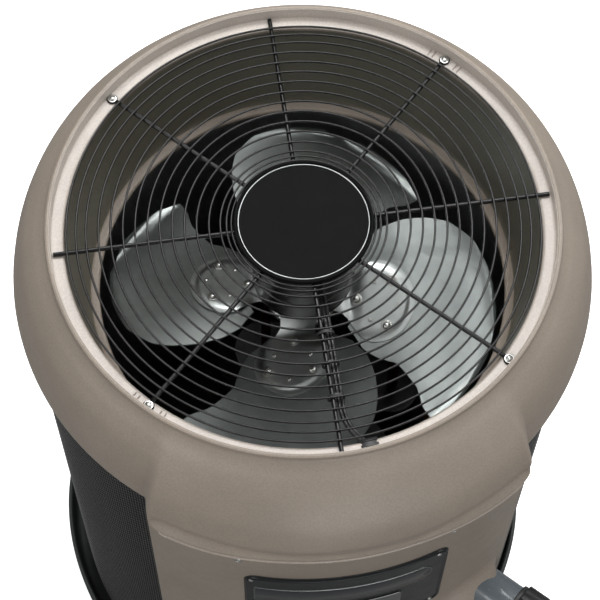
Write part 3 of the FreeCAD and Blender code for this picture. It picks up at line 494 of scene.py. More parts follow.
def front_angles(count, half):
    """Angles once round, closer together across the creases of the front bulge."""
    angles = {round(360.0 * i / count, 4) for i in range(count)}
    for crease in (FRONT - half, FRONT + half):
        angles |= {round((crease + (k - 20) * 0.28) % 360, 4) for k in range(34)}
    return sorted(angles)


def lip_share(angle):
    """How far the seam under the bulge rolls out: most near its corners, gone at its ends."""
    away = from_front(angle)
    return (0.30 + 0.70 * smooth(away, 8, 29)) * (1 - smooth(away, BIB_HALF - 5, BIB_HALF - 1.5))


def plumbing_side(angle):
    """1 where the cabinet is drawn in a little on the side of the water pipes."""
    turn = (angle + 180) % 360 - 180
    return smooth(turn, -56, -49) * (1 - smooth(turn, 15, 55))


def bulged_ring(mesh, outline, angles, half, inset=0.0):
    """Turns an outline of (round radius, bulge radius, level, lip) once round."""
    loops = []
    for angle in angles:
        share, lip = bib_share(angle, half), lip_share(angle)
        drawn = inset * plumbing_side(angle)
        loops.append([polar(r + (b + out * lip - r) * share - (drawn if r > 0.35 else 0.0),
                            angle, z)
                      for r, b, z, out in outline])
    return loops_mesh(mesh, loops, closed_stack=True)


def make_shroud():
    """Flared cap with its rim, shelf, deep throat and front bulge, as one closed skin."""
    top, foot = RIM_TOP, SHROUD_FOOT
    rim = RIM_RADIUS + RIM_WALL
    flare = curve_through([(rim + side, rim + front, top - drop, 0) for side, front, drop in (
        (0, 0, 0.0028), (0.0014, 0.0014, 0.007), (0.009, 0.0105, 0.016), (0.021, 0.026, 0.029),
        (0.037, 0.047, 0.052), (0.049, 0.070, 0.084))] + [
            (SHROUD_RADIUS - 0.002, BIB_RADIUS - 0.0065, top - 0.116, -0.0022),
            (SHROUD_RADIUS, BIB_RADIUS - 0.0055, foot + 0.019, -0.0066)])
    edge = curve_through([
        (SHROUD_RADIUS - side, BIB_RADIUS - bib, foot + lift, lip) for side, bib, lift, lip in (
            (0, 0.0052, 0.0140, -0.0070), (0, 0.0050, 0.0105, -0.0052),
            (0.0002, 0.0050, 0.0072, -0.0004), (0.0010, 0.0052, 0.0042, 0.0040),
            (0.0026, 0.0062, 0.0022, 0.0044), (0.0050, 0.0105, 0.0014, 0))])
    under = [(0.330, foot), (LEDGE_RADIUS - 0.012, foot), (0.3135, LIP_LEVEL - 0.004),
             (0.296, LIP_LEVEL - 0.0085)]
    lip = curve_through([
        (THROAT_RADIUS, LIP_LEVEL - 0.0075), (THROAT_RADIUS + 0.0002, LIP_LEVEL - 0.004),
        (0.2948, LIP_LEVEL - 0.0018), (0.2985, LIP_LEVEL - 0.0004), (0.3045, LIP_LEVEL + 0.0032),
        (0.3082, LIP_LEVEL + 0.010), (0.3098, LIP_LEVEL + 0.022)])
    wall = curve_through([
        (0.3130, LIP_LEVEL + 0.045), (0.3185, LIP_LEVEL + 0.085), (0.3240, LIP_LEVEL + 0.125),
        (0.3272, LEDGE - 0.010), (LEDGE_RADIUS - 0.0008, LEDGE - 0.003),
        (LEDGE_RADIUS + 0.0012, LEDGE - 0.0007), (LEDGE_RADIUS + 0.0035, LEDGE)], 5)
    shelf = curve_through([
        (RIM_RADIUS - 0.0030, LEDGE), (RIM_RADIUS - 0.0008, LEDGE + 0.0008),
        (RIM_RADIUS, LEDGE + 0.003), (RIM_RADIUS, top - 0.003),
        (RIM_RADIUS + 0.001, top - 0.0008), (RIM_RADIUS + 0.003, top),
        (rim - 0.003, top), (rim - 0.0008, top - 0.0008)], 4)
    mesh = bmesh.new()
    inside = [(r, r, z, 0) for r, z in under + lip + wall + shelf]
    bulged_ring(mesh, flare + edge + inside, front_angles(300, BIB_HALF), BIB_HALF)
    for face in mesh.faces:
        middle = face.calc_center_median()
        out = math.hypot(middle.x, middle.y)
        # Painted light: the shelf and the rim's inner face get the lighter copy of the shroud
        # plastic.
        if middle.z > LEDGE - 0.004 and out < RIM_RADIUS + 0.0008:
            face.material_index = 2
        # Painted shade: the throat wall between the lip and the shelf gets the darker copy of the
        # shroud plastic.
        elif middle.z > LIP_LEVEL + 0.004 and out < LEDGE_RADIUS - 0.0015:
            face.material_index = 1
    cap = finish_mesh("shroud_cap", mesh, "shroud_plastic", "top_shroud")
    cap.data.materials.append(MATERIALS["throat_painted_shade"])
    cap.data.materials.append(MATERIALS["shelf_painted_light"])
    make_shelf_pads()


def make_shelf_pads():
    """Low radial ridges on the shelf beside the far right and near left guard screws."""
    mesh = bmesh.new()
    section = [(LEDGE_RADIUS + 0.0035, -0.0005), (LEDGE_RADIUS + 0.0040, 0.0012),
               (LEDGE_RADIUS + 0.0052, 0.0018), (RIM_RADIUS - 0.0022, 0.0018),
               (RIM_RADIUS - 0.0014, 0.0012), (RIM_RADIUS - 0.0010, -0.0005)]
    for angle in (45, -135):
        for offset in (-4.3, -3.1, 3.1, 4.3):
            turns = [angle + offset + 0.11 * (i - 1) for i in range(3)]
            loops_mesh(mesh, [[polar(r, turn, LEDGE + z) for r, z in section] for turn in turns],
                       caps=True)
    finish_mesh("shelf_pads", mesh, "shroud_plastic")


def make_panel():
    """Front cover: wrapped sheet with rounded side edges and a bulge round the pipe exits."""
    low, high = FLOOR_LEVEL, SHROUD_FOOT - 0.0006
    close = [high - 0.024 * (i / 24) ** 1.6 for i in range(24, -1, -1)]
    levels = [low + (close[0] - low) * i / 100 for i in range(100)] + close
    half = PANEL_HALF
    turns = [-half + 2 * half * i / 150 for i in range(151)]
    wall = 0.003

    def skin(turn, level):
        """Radius of the outer face at a turn from the front and a level."""
        bulge = smooth(turn, 18.0, 25.5) * (1 - smooth(turn, 32.2, 35.6))
        bulge *= smooth(0.609 + 0.0012 * (turn - 38) - level, 0, 0.050)
        below = high - level
        edge = 0.0036
        ends = 1 - smooth(abs(turn), half - 4.5, half - 1.5)
        roll = (0.0072 + 0.0052 * lip_share(FRONT + turn)) * ends
        roll -= roll * smooth(below, 0.0045, 0.019)
        if below < edge:
            roll -= edge - math.sqrt(max(edge ** 2 - (edge - below) ** 2, 0.0))
        return PANEL_RADIUS + 0.034 * bulge + roll

    def column(turn, inset):
        return [polar(skin(turn, z) - inset, FRONT + turn, z) for z in levels]

    round_edge, return_radius = 0.011, 0.384
    corner = math.degrees(round_edge / PANEL_RADIUS)

    def rounded_side(sign):
        """The columns that turn a side edge round, from its end to the face."""
        for k in range(7):
            t = math.pi / 2 * k / 6
            turn = sign * (half - corner * (1 - math.cos(t)))
            yield column(turn, round_edge * (1 - math.sin(t)))

    def straight(radius, turn):
        return [polar(radius, FRONT + turn, z) for z in levels]

    columns = [straight(return_radius, 0.02 - half), *rounded_side(-1)]
    columns += [column(turn, 0) for turn in turns if abs(turn) < half - corner * 1.02]
    columns += list(rounded_side(1))[::-1] + [straight(return_radius, half - 0.02)]
    inner = [straight(return_radius, half - 0.45)]
    inner += [straight(PANEL_RADIUS - wall - 0.002, turn)
              for turn in reversed(turns) if abs(turn) < half - 0.6]
    inner.append(straight(return_radius, 0.45 - half))
    mesh = bmesh.new()
    loops_mesh(mesh, [list(ring) for ring in zip(*(columns + inner))], caps=True)
    # Painted highlight: a band along the top of the cover, widest near the corners, gets the
    # lighter seam copy of the panel plastic.
    for face in mesh.faces:
        middle = face.calc_center_median()
        angle = math.degrees(math.atan2(middle.y, middle.x))
        if high - 0.0046 - 0.0100 * lip_share(angle) < middle.z < high - 0.0004:
            face.material_index = 1
    cover = finish_mesh("front_cover", mesh, "panel_plastic", "front_panel")
    cover.data.materials.append(MATERIALS["seam_painted_highlight"])


def make_base():
    """Round tray with a rolled rim and a front bulge."""
    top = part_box("base_pan")[1].z
    rim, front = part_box("base_pan")[1].x, -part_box("base_pan")[0].y
    turned_rim = curve_through([
        (0.010, 0.0), (0.004, 0.001), (0.001, 0.006), (0.0, top * 0.5), (0.0, top - 0.006),
        (0.0015, top - 0.002), (0.0045, top), (0.0075, top - 0.002), (0.009, top - 0.007),
        (0.0098, top * 0.5), (0.0125, FLOOR_LEVEL + 0.003), (0.018, FLOOR_LEVEL)], 4)
    outline = [(0.02, 0.02, 0.0)] + [(rim - back, front - back, z) for back, z in turned_rim]
    outline += [(0.3, 0.3, FLOOR_LEVEL), (0.02, 0.02, FLOOR_LEVEL)]
    mesh = bmesh.new()
    bulged_ring(mesh, [(*spot, 0) for spot in outline], front_angles(240, BIB_HALF), BIB_HALF,
                inset=0.020)
    for level, up in ((0.0, False), (FLOOR_LEVEL, True)):
        ring = [mesh.verts.new(polar(0.02, a, level)) for a in front_angles(240, BIB_HALF)]
        mesh.faces.new(ring if up else list(reversed(ring)))
    finish_mesh("base_tray", mesh, "base_plastic", "base_pan")


def make_mesh_guard():
    """Fine square mesh round the coil, woven from real wires."""
    low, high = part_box("mesh_guard")[0].z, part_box("mesh_guard")[1].z
    start, sweep = -50.5, 281.0
    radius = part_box("mesh_guard")[1].x - 0.0007
    pitch = 0.0050
    half = 0.00085
    columns = int(math.radians(sweep) * radius / pitch)
    rows = int((high - low) / pitch)
    angles = [start + sweep * i / columns for i in range(columns + 1)]
    levels = [low + (high - low) * j / rows for j in range(rows + 1)]

    def reach(angle):
        return radius - 0.004 * plumbing_side(angle)

    mesh = bmesh.new()
    turn = math.degrees(half / radius)
    for angle in angles:
        out = reach(angle)
        square = [(out - 0.0007, angle - turn), (out + 0.0005, angle - turn * 0.6),
                  (out + 0.0005, angle + turn * 0.6), (out - 0.0007, angle + turn)]
        loops_mesh(mesh, [[polar(r, a, z) for r, a in square] for z in (low, high)], caps=True)
    for level in levels:
        square = [(-0.0009, -half), (0.0003, -half * 0.7), (0.0003, half * 0.7), (-0.0009, half)]
        loops_mesh(mesh, [[polar(reach(angle) + r, angle, level + z) for r, z in square]
                          for angle in angles[::4] + [angles[-1]]], caps=True)
    finish_mesh("coil_mesh", mesh, "mesh_plastic", "mesh_guard", flat=True)
    # Raised knots at the wire crossings, coloured light grey as a painted glint on the black mesh.
    mesh = bmesh.new()
    for i, angle in enumerate(angles[1:-1]):
        for level in levels[1 + i % 2:-1:2]:
            foot = [mesh.verts.new(polar(reach(angle) + 0.0004, angle + a * turn * 1.7,
                                         level + z * half * 2.1))
                    for a, z in ((0, 1.1), (-1.05, -0.7), (1.05, -0.7))]
            tip = mesh.verts.new(polar(reach(angle) + 0.0012, angle, level))
            for k in range(3):
                mesh.faces.new((foot[k], foot[(k + 1) % 3], tip))
            mesh.faces.new(foot[::-1])
    finish_mesh("coil_mesh_knots", mesh, "mesh_knots", slot="mesh_plastic", flat=True)


# ---------------------------------------------------------------- fan guard

def ring_radii():
    close = [BADGE_RADIUS + extra for extra in (0.003, 0.0095, 0.018)]
    even = [0.1294 + 0.01675 * k for k in range(11)]
    return close + even + [LEDGE_RADIUS - 0.0185, LEDGE_RADIUS - 0.005]


def make_guard():
    """Glossy wire guard: rings welded on eight spokes, four of them ending in eyelets."""
    wire = 0.0015
    mesh = bmesh.new()
    for radius in ring_radii():
        ring_tube(mesh, radius, wire, LEDGE + 2 * SPOKE_WIRE + wire - 0.0001)
    finish_mesh("guard_ring_wires", mesh, "guard_wire", "guard_rings")
    mesh = bmesh.new()
    axis = LEDGE + SPOKE_WIRE
    lathe(mesh, disc_outline(0.034, axis - 0.0015, axis + 0.0015, 0.0008), 64)
    for k in range(8):
        angle = 45 * k - 90
        line = [(r, axis) for r in (0.026, 0.12, 0.24, 0.3415, 0.3425)]
        if k % 2:
            reach = EYELET_RADIUS - 0.0072
            line = [(0.026, axis), (0.15, axis), (reach - 0.012, axis),
                    (reach - 0.004, axis - 0.0004), (reach, LEDGE + 0.0018)]
        tube_along(mesh, [polar(r, angle, z) for r, z in line], SPOKE_WIRE * 0.98, 16)
        if k % 2:
            place = Matrix.Translation(polar(EYELET_RADIUS, angle, LEDGE))
            lathe(mesh, ring_outline(0.0026, 0.0078, 0.003, 0.0012, 3), 40, place=place)
    finish_mesh("guard_spoke_wires", mesh, "guard_wire", "guard_spokes")
    mesh = bmesh.new()
    for angle in (45, 135, 225, 315):
        place = Matrix.Translation(polar(EYELET_RADIUS, angle, LEDGE + 0.003))
        washer(mesh, place, 0.0066, 0.0023, 0.0012)
        screw_head(mesh, place @ Matrix.Translation((0, 0, 0.0012)), 0.0048, 0.0032)
    finish_mesh("guard_screw_heads", mesh, "fastener_steel", "guard_screws")


def make_badge():
    """Blank black centre cover with a raised rim and a thin bright ring let into its face."""
    face = BADGE_TOP - 0.003
    outline = [(1e-5, BADGE_FOOT), (BADGE_RADIUS - 0.002, BADGE_FOOT)]
    outline += curve_through([(BADGE_RADIUS - back, z) for back, z in (
        (0.0006, BADGE_FOOT + 0.0006), (0, BADGE_FOOT + 0.002), (0, BADGE_TOP - 0.0025),
        (0.0008, BADGE_TOP - 0.0006), (0.0024, BADGE_TOP), (0.0042, BADGE_TOP - 0.0008),
        (0.0052, face))], 4)
    outline += [(BADGE_RADIUS - 0.008, face - 0.0002), (0.05, face + 0.0004),
                (1e-5, face + 0.0006)]
    mesh = bmesh.new()
    lathe(mesh, outline, 160)
    finish_mesh("badge_cover", mesh, "badge_plastic", "badge")
    mesh = bmesh.new()
    ring_tube(mesh, BADGE_RADIUS - 0.0066, 0.0009, face + 0.0003, 200, 10)
    finish_mesh("badge_bright_ring", mesh, "badge_trim", slot="badge_plastic")


# ---------------------------------------------------------------- motor and fan

def make_motor():
    """Round motor can with rolled ends, a waist band and cooling slots in its lower bell."""
    low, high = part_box("motor_end_bells")[0].z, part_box("motor_end_bells")[1].z
    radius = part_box("motor_shell")[1].y
    inner = radius - 0.003
    side = curve_through([
        (radius - 0.012, low), (radius - 0.004, low + 0.0015), (radius - 0.0006, low + 0.006),
        (radius, low + 0.014), (radius, low + 0.040)], 4)
    side += [(radius, low + 0.042), (radius - 0.0012, low + 0.043), (radius - 0.0012, low + 0.046),
             (radius, low + 0.047)]
    side += [(r, low + high - z) for r, z in reversed(side)]
    mesh = bmesh.new()
    lathe(mesh, side + [(inner, high - 0.0045), (inner, low + 0.0045)], 128)
    finish_mesh("motor_can", mesh, "motor_paint", "motor_shell")
    mesh = bmesh.new()
    for k in range(12):
        place = Matrix.Translation(polar(0.048, 30 * k, low - 0.0004)) @ Matrix.Rotation(
            math.radians(30 * k), 4, "Z") @ Matrix.Diagonal((1.0, 0.34, 1.0, 1.0))
        lathe(mesh, disc_outline(0.011, 0, 0.0008, 0.0003), 24, place=place)
    finish_mesh("motor_vents", mesh, "seal_rubber", slot="motor_paint")


BLADE_BACK = [(0.24, 38), (0.34, 47), (0.44, 47), (0.54, 43), (0.63, 38), (0.70, 33), (0.77, 24),
              (0.81, 12), (0.83, 0)]
BLADE_FRONT = [(0.24, -30), (0.35, -36), (0.42, -34), (0.50, -30), (0.63, -33), (0.70, -37),
               (0.76, -38), (0.80, -30), (0.83, -12)]


def blade_sheet(u, v):
    """A point of the blade's lower face: u from root to tip, v from leading to trailing edge."""
    scale = 0.285 / 0.83
    share = 0.24 + 0.59 * (1 - (1 - u) ** 1.35)
    lead, trail = table(BLADE_FRONT, share), table(BLADE_BACK, share)
    angle = math.radians(lead + (trail - lead) * v)
    x, y = scale * share * math.cos(angle), scale * share * math.sin(angle)
    outer = smooth(math.hypot(x, y), 0.150, 0.285)
    camber = -0.010 * outer * (1 - (2 * v - 1) ** 2)
    twist = -0.06 * outer * y
    return Vector((x, y, camber + twist))


def blade_place(angle):
    """From the flat blade's own plane to its pitched place on the fan."""
    return (Matrix.Translation((0, 0, FAN_LEVEL)) @ Matrix.Rotation(math.radians(angle), 4, "Z")
            @ Matrix.Rotation(BLADE_PITCH, 4, "X"))


def make_blades():
    """Four broad cambered blades, each one thin sheet."""
    rows, columns = 44, 40
    for k in range(4):
        place = blade_place(FAN_ANGLE + 90 * k)
        mesh = bmesh.new()
        thin_sheet(mesh, [[[mesh.verts.new(place @ (blade_sheet(i / rows, j / columns)
                                                    + Vector((0, 0, lift))))
                            for j in range(columns + 1)] for i in range(rows + 1)]
                          for lift in (0.0, BLADE_GAUGE)])
        finish_mesh(f"blade_{k + 1}", mesh, "blade_aluminium", f"fan_blade_{k + 1}", body="fan")


PLATE_CENTRE, PLATE_RADIUS = 0.107, 0.058


def arm_half_width(x):
    """Half the width of a spider arm: a narrow neck that opens into a rounded plate."""
    if x > PLATE_CENTRE:
        return math.sqrt(max(PLATE_RADIUS ** 2 - (x - PLATE_CENTRE) ** 2, 0.0))
    return table([(0.030, 0.034), (0.045, 0.027), (0.060, 0.0250), (0.070, 0.030),
                  (0.081, 0.042), (0.093, 0.053), (PLATE_CENTRE, PLATE_RADIUS)], x)


def make_spider():
    """Pressed spider: a dished middle, four twisted necks and stepped rounded plates."""
    mesh = bmesh.new()
    rows, columns = 46, 24
    for k in range(4):
        turn = Matrix.Rotation(math.radians(FAN_ANGLE + 90 * k), 4, "Z")
        grids = []
        for lift in (0.0, SPIDER_GAUGE):
            grid = []
            for i in range(rows + 1):
                reach = PLATE_CENTRE + PLATE_RADIUS - 0.0301
                x = 0.030 + reach * math.sin(math.pi / 2 * i / rows)
                wide = arm_half_width(x)
                row = []
                for j in range(columns + 1):
                    y = wide * (2 * j / columns - 1)
                    pitch = math.tan(BLADE_PITCH) * smooth(x, 0.040, 0.085)
                    inside = 1 - smooth(math.hypot(max(x - PLATE_CENTRE, 0), y), 0.044, 0.052)
                    press = 0.0030 * inside * smooth(x, 0.070, 0.090)
                    dish = 0.012 * (1 - smooth(x, 0.030, 0.070))
                    level = y * pitch + BLADE_GAUGE / math.cos(BLADE_PITCH) + press + dish
                    level = FAN_LEVEL + level + lift
                    row.append(mesh.verts.new(turn @ Vector((x, y * 0.985, level))))
                grid.append(row)
            grids.append(grid)
        thin_sheet(mesh, grids)
    crown = FAN_LEVEL + 0.0125
    dish = curve_through([(r, crown + z) for r, z in (
        (0.0182, 0.004), (0.024, 0.004), (0.032, 0.001), (0.042, -0.003), (0.052, -0.0085),
        (0.054, -0.0115))], 4)
    dish += [(r, z - SPIDER_GAUGE) for r, z in reversed(dish)]
    lathe(mesh, dish, 96)
    finish_mesh("fan_spider_pressing", mesh, "spider_steel", "fan_spider", body="fan")


def make_fan_bolts():
    """Washered bolts and small rivets that hold the blades to the spider."""
    mesh = bmesh.new()
    top = BLADE_GAUGE + SPIDER_GAUGE + 0.0030
    for k in range(4):
        place = blade_place(FAN_ANGLE + 90 * k)
        for x, y in ((0.128, 0.034), (0.128, -0.034), (0.080, 0.0)):
            spot = place @ Matrix.Translation((x, y, top - 0.0004))
            washer(mesh, spot, 0.0085, 0.003, 0.0014)
            screw_head(mesh, spot @ Matrix.Translation((0, 0, 0.0013)), 0.0056, 0.0042, False)
            under = place @ Matrix.Translation((x, y, 0)) @ Matrix.Rotation(math.pi, 4, "X")
            lathe(mesh, disc_outline(0.0055, 0, 0.004, 0.0005), 6, place=under)
        for x, y in ((0.103, 0.028), (0.103, -0.028), (0.142, 0.0)):
            spot = place @ Matrix.Translation((x, y, top - 0.0004))
            screw_head(mesh, spot, 0.0030, 0.0019, False)
    finish_mesh("fan_bolt_heads", mesh, "fastener_steel", "fan_bolts", body="fan")


def cable_route():
    """The cable's corner points from the motor to the terminal block."""
    side, under = SPOKE_WIRE + 0.0068, LEDGE - 0.006
    drop = polar(CABLE_DROP, CABLE_ANGLE)
    return [(side, -0.072, under - 0.022), (side, -0.104, under - 0.022), (side, -0.134, under),
            (side, -0.296, under), (drop.x, drop.y, under), (drop.x, drop.y, 0.690)]


def make_cable():
    """Motor lead: a bundle of sleeved wires beside the front spoke, with ties and a relief."""
    route = [Vector(p) for p in round_corners(cable_route(), math.inf, 8, closed=False)]
    mesh = bmesh.new()
    for turn in (20, 140, 260):
        offset = Vector((math.cos(math.radians(turn)), 0, math.sin(math.radians(turn)))) * 0.0029
        tube_along(mesh, [p + offset for p in route], 0.0027, 12)
    finish_mesh("motor_lead", mesh, "cable_rubber", "motor_cable")
    mesh = bmesh.new()
    side, under = cable_route()[2][0], LEDGE - 0.006
    for reach in (-0.165, -0.210, -0.258):
        turn = Matrix.Translation((side / 2, reach, under + 0.004)) @ Matrix.Rotation(
            math.pi / 2, 4, "X") @ Matrix.Diagonal((1.2, 1.1, 1.0, 1.0))
        lathe(mesh, ring_outline(0.0088, 0.0100, 0.0042, 0.0004, 2), 40, place=turn)
    finish_mesh("lead_ties", mesh, "device_plastic", "cable_ties")
    mesh = bmesh.new()
    out = polar(1, CABLE_ANGLE)
    across = Vector((-out.y, out.x, 0))
    for k in range(5):
        near = LEDGE_RADIUS - 0.003 + 0.0038 * k
        low, high = LEDGE - 0.019, LEDGE + (0.0016 if k % 2 == 0 else 0.0004)
        wide = 0.0118 if k % 2 == 0 else 0.0108
        loops = []
        for reach in (near, near + 0.0036):
            loops.append([out * reach + across * s + Vector((0, 0, z))
                          for s, z in ((-wide, low), (-wide, high - 0.001),
                                       (-wide + 0.0015, high), (wide - 0.0015, high),
                                       (wide, high - 0.001), (wide, low))])
        loops_mesh(mesh, loops, caps=True)
    finish_mesh("lead_relief", mesh, "cable_rubber", "strain_relief")


# ---------------------------------------------------------------- control panel

def wrapped_plate(name, material, replaced, sides, levels, corner, profile, right_corner=None,
                  **options):
    """A plate bent round the cabinet with rounded corners, as a piece of its own.

    Sides are angles, and the profile is a list of (inset, radius) from the back to the face.
    """
    (left, right), (low, high) = sides, levels

    def loop(inset):
        points = []
        half = math.radians((right - left) / 2) * PANEL_RADIUS - inset
        tall = (high - low) / 2 - inset
        middle, level = (left + right) / 2, (low + high) / 2
        for sx, sy, first in ((1, 1, 0), (-1, 1, 90), (-1, -1, 180), (1, -1, 270)):
            radius = (right_corner if sx > 0 and right_corner else corner) - inset
            radius = max(min(radius, tall), 0.0002)
            for k in range(9):
                turn = math.radians(first + 90 * k / 8)
                x = sx * (half - radius) + radius * math.cos(turn)
                y = sy * (tall - radius) + radius * math.sin(turn)
                points.append((middle + math.degrees(x / PANEL_RADIUS), level + y))
        return dense(points, 44)

    mesh = bmesh.new()
    made = loops_mesh(mesh, [[polar(radius, angle, z) for angle, z in loop(inset)]
                             for inset, radius in profile])
    fill_wrapped(mesh, made[-1], loop(profile[-1][0]))
    mesh.faces.new(made[0][::-1])
    finish_mesh(name, mesh, material, replaced, **options)


def dense(points, steps):
    """The same closed loop with its long straight stretches divided."""
    line = []
    for here, there in zip(points, points[1:] + points[:1]):
        span = abs(there[0] - here[0])
        parts = max(1, round(span / 40 * steps))
        line += [(here[0] + (there[0] - here[0]) * i / parts,
                  here[1] + (there[1] - here[1]) * i / parts) for i in range(parts)]
    return line


def fill_wrapped(mesh, ring, spots):
    """Fills a wrapped loop with vertical strips, so that the face follows the cabinet's curve."""
    count = len(ring)
    i = j = min(range(count), key=lambda k: (spots[k][0], abs(spots[k][1] - spots[0][1])))
    while (i + 1) % count != j:
        ahead, behind = (i + 1) % count, (j - 1) % count
        mesh.faces.new(tuple(dict.fromkeys((ring[i], ring[ahead], ring[behind], ring[j]))))
        if ahead == behind:
            break
        i, j = ahead, behind


def make_controls():
    """Control bezel with a bevelled edge, blank label strip, dark display, keys and screws."""
    foot, top = (corner.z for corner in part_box("control_bezel"))
    proud = PANEL_RADIUS + 0.005
    left, right = FRONT - 18.8, FRONT + 19.7
    # Painted shadow: a black rim a little wider than the bezel and just below its face stands in
    # for the shadow gap round the bezel.
    wrapped_plate("bezel_painted_shadow_rim", "seal_rubber", None, (left - 0.22, right + 0.22),
                  (foot - 0.0017, top + 0.0017), 0.0215,
                  [(0.0, PANEL_RADIUS - 0.004), (0.0, PANEL_RADIUS + 0.0006),
                   (0.0006, PANEL_RADIUS + 0.0012)])
    wrapped_plate("bezel_plate", "bezel_plastic", "control_bezel", (left, right), (foot, top),
                  0.020,
                  [(0.0, PANEL_RADIUS - 0.003), (0.0, proud - 0.0026), (0.0007, proud - 0.0010),
                   (0.0020, proud), (0.0034, proud + 0.0003), (0.0048, proud),
                   (0.0058, proud - 0.0010), (0.0066, proud - 0.0014), (0.0078, proud - 0.0014)])
    low, high = (corner.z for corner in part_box("label_strip"))
    wrapped_plate("label_plate", "label_film", "label_strip", (-107, -73.5), (low, high), 0.003,
                  [(0.0, proud - 0.002), (0.0, proud + 0.0004), (0.0005, proud + 0.0007)], 0.024)
    wrapped_plate("label_frame", "badge_trim", None, (-107.16, -73.34),
                  (low - 0.0012, high + 0.0012), 0.004,
                  [(0.0, proud - 0.002), (0.0, proud - 0.0002), (0.0005, proud + 0.0002)], 0.025,
                  slot="label_film")
    levels = [corner.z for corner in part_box("display_window")]
    wrapped_plate("display_pane", "display_glass", "display_window", (-100.9, -79.1), levels,
                  0.004,
                  [(0.0, proud - 0.002), (0.0, proud + 0.0002), (0.0008, proud + 0.0008)])
    for name, angle in (("mode", -98), ("down", -90), ("up", -82)):
        mesh = bmesh.new()
        place = facing(angle, PANEL_RADIUS - 0.007, 0.648)
        lathe(mesh, [(1e-5, 0)] + curve_through([
            (0.0078, 0), (0.0080, 0.0006), (0.0080, 0.0122), (0.0074, 0.0132), (0.0058, 0.0136),
            (0.0040, 0.0131)], 3) + [(1e-5, 0.0127)], 48, place=place)
        finish_mesh(f"{name}_key", mesh, "button_plastic", f"button_{name}", body=f"{name}_button")
    for name, angles, levels, radius, size in (
            ("bezel", (-107.6, -72.4), (top - 0.009, foot + 0.009), proud - 0.0016,
             (0.0036, 0.0026)),
            ("panel", (-110, -70), (SHROUD_FOOT - 0.038, FLOOR_LEVEL + 0.060),
             PANEL_RADIUS - 0.0001, (0.0055, 0.0032))):
        mesh = bmesh.new()
        for angle in angles:
            for level in levels:
                screw_head(mesh, facing(angle, radius, level), *size)
        finish_mesh(f"{name}_screw_heads", mesh, "fastener_steel", f"{name}_screws")


# ---------------------------------------------------------------- plumbing

def make_unions():
    """Grey pipe stubs and union bodies, castellated black union nuts and grey tailpieces."""
    lugs, fine = 16, 14
    count = lugs * fine
    for name, level in PIPE_LEVELS.items():
        mesh = bmesh.new()
        place = along_pipe(0.483, level)

        def loop(z, base, lift=0.0):
            points = []
            for k in range(count):
                phase = (k % fine) / fine
                rise = smooth(phase, 0.10, 0.20) * (1 - smooth(phase, 0.55, 0.65))
                r = base + lift * rise
                angle = 2 * math.pi * k / count
                points.append(place @ Vector((r * math.cos(angle), r * math.sin(angle), z)))
            return points

        stack = [(0.0, 0.0400), (0.0008, 0.0410), (0.0054, 0.0412), (0.0062, 0.0408),
                 (0.0068, 0.0412, 0.0002), (0.0072, 0.0418, 0.0030), (0.0080, 0.0421, 0.0036),
                 (0.0400, 0.0421, 0.0036), (0.0470, 0.0414, 0.0026), (0.0494, 0.0400, 0.0008),
                 (0.0500, 0.0386), (0.0500, 0.0371), (0.0494, 0.0361), (0.0425, 0.0361),
                 (0.0420, 0.0376), (0.0, 0.0376)]
        loops_mesh(mesh, [loop(*spot) for spot in stack], closed_stack=True)
        finish_mesh(f"{name}_union_nut", mesh, "union_black", f"union_nut_{name}",
                    body=f"{name}_nut")
    pieces = (
        ("tailpieces", "union_tailpieces", 0.517,
         [(0.0262, 0), (0.0369, 0), (0.0369, 0.005), (0.0354, 0.0052), (0.0354, 0.0565),
          (0.0342, 0.057), (0.0302, 0.057), (0.0302, 0.019), (0.0262, 0.019)], 0.0011),
        ("pipe_stubs", "water_pipes", 0.230,
         [(0.0262, 0), (0.03015, 0), (0.03015, 0.284), (0.0262, 0.284)], 0.0006),
        ("union_sleeves", "union_bodies", 0.427,
         [(0.0302, 0), (0.0370, 0), (0.0370, 0.087), (0.0302, 0.087)], 0.0012),
    )
    for name, node, start, outline, edge in pieces:
        mesh = bmesh.new()
        for level in PIPE_LEVELS.values():
            lathe(mesh, round_corners(outline, edge, 3), 96, place=along_pipe(start, level))
        finish_mesh(name, mesh, "pvc_grey", node)


# ---------------------------------------------------------------- stage

def make_camera():
    """Long lens high above the front, a little to the left of the control panel."""
    high, side, roll = math.radians(63.06), math.radians(-9.2), math.radians(1.04)
    unit = RIM_RADIUS
    centre = Vector((0, 0, LEDGE + SPOKE_WIRE))
    back = Vector((math.sin(side) * math.cos(high), -math.cos(side) * math.cos(high),
                   math.sin(high)))
    right = Vector((math.cos(side), math.sin(side), 0))
    up = back.cross(right)
    camera = add_object("camera", bpy.data.cameras.new("camera"))
    camera.data.lens = 111.6
    camera.data.sensor_width = 36
    camera.data.clip_end = 50
    across = right * math.cos(roll) + up * math.sin(roll)
    upward = up * math.cos(roll) - right * math.sin(roll)
    turn = Matrix((across, upward, back)).transposed().to_4x4()
    spot = centre + unit * (back * 7.369 - right * 0.009 - up * 0.301)
    camera.matrix_world = Matrix.Translation(spot) @ turn
    bpy.context.scene.camera = camera


def make_light(name, spot, target, size, power):
    data = bpy.data.lights.new(name, "AREA")
    data.shape = "RECTANGLE"
    data.size, data.size_y = size
    data.energy = power
    lamp = add_object(name, data)
    turn = (Vector(target) - Vector(spot)).to_track_quat("-Z", "Y")
    lamp.matrix_world = Matrix.Translation(Vector(spot)) @ turn.to_matrix().to_4x4()


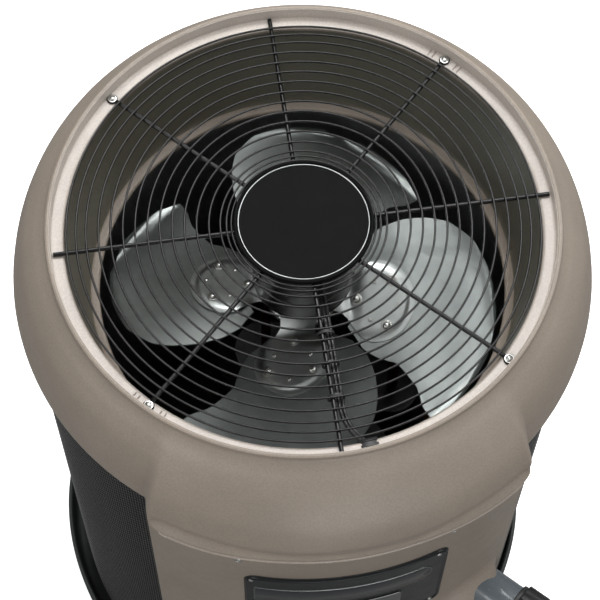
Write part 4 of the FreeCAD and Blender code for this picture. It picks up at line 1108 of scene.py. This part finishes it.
MIDDLE = (0, 0, 0.9)
LAMPS = [
    ("overhead", (0.3, 1.2, 3.6), MIDDLE, (1.7, 1.3), 62),
    ("glint", (0.50, -0.46, 3.9), MIDDLE, (0.30, 0.30), 4.5),
    ("front_fill", (0.5, -4.2, 1.0), (0, 0, 0.75), (2.4, 1.2), 30),
    ("right_soft", (2.8, 0.8, 3.0), MIDDLE, (2.2, 2.0), 38),
    ("left_soft", (-2.9, -0.7, 2.9), MIDDLE, (1.6, 1.6), 29),
    ("left_seam", (-2.0, -1.9, 3.4), (-0.25, -0.35, 0.83), (0.7, 0.7), 9),
    ("right_seam", (2.5, -1.3, 3.3), (0.25, -0.35, 0.83), (0.7, 0.7), 11),
    ("back_soft", (0.3, 3.8, 2.7), MIDDLE, (1.8, 1.0), 24),
]
DIM_SIDE = (-0.47, 0.59, 0.65)


def make_stage():
    """Pale floor, soft lamps, and a light world that is dimmer high up at the back left."""
    n = Nodes("studio_floor")
    tone = n.ramp(n.noise(3.0, 2.0), [(0.3, (0.90, 0.90, 0.90)), (0.7, (0.94, 0.94, 0.94))])
    n.feed(n.shader, {"Base Color": tone, "Roughness": n.spread(n.noise(30.0, 2.0), 0.55, 0.7),
                      "Emission Color": (1, 1, 1, 1), "Emission Strength": 0.75})
    grey = n.add("ShaderNodeBsdfDiffuse", {"Color": (0.24, 0.24, 0.24, 1)}, "BSDF")
    sight = n.add("ShaderNodeLightPath", {}, "Is Camera Ray")
    choice = n.add("ShaderNodeMixShader", {"Fac": sight, 1: grey, 2: n.shader.outputs["BSDF"]},
                   "Shader")
    n.feed(n.nodes["Material Output"], {"Surface": choice})
    mesh = bmesh.new()
    lathe(mesh, [(1e-4, -0.02), (9.0, -0.02), (9.0, 0.0), (1e-4, 0.0)], 64)
    data = bpy.data.meshes.new("floor")
    mesh.to_mesh(data)
    mesh.free()
    data.materials.append(n.material)
    add_object("floor", data)
    world = bpy.data.worlds.new("studio")
    sky = Tree(world)
    way = sky.add("ShaderNodeTexCoord", {}, "Generated")
    near = sky.add("ShaderNodeVectorMath", {0: way, 1: DIM_SIDE}, "Value", operation="DOT_PRODUCT")
    dim = sky.add("ShaderNodeMapRange", {
        "Value": near, "From Min": 0.70, "From Max": 0.93, "To Min": 0.47, "To Max": 0.04},
                  "Result")
    sight = sky.add("ShaderNodeLightPath", {}, "Is Camera Ray")
    level = sky.add("ShaderNodeMix", {"Factor": sight, "A": dim, "B": 1.0}, "Result")
    sky.feed(sky.nodes["Background"], {"Color": (1, 1, 1, 1), "Strength": level})
    bpy.context.scene.world = world
    for lamp in LAMPS:
        make_light(*lamp)
    bpy.context.scene.view_settings.view_transform = "Standard"


finish_cad_nodes()
make_camera()
make_stage()
make_shroud()
make_panel()
make_base()
make_mesh_guard()
make_guard()
make_badge()
make_motor()
make_blades()
make_spider()
make_fan_bolts()
make_cable()
make_controls()
make_unions()
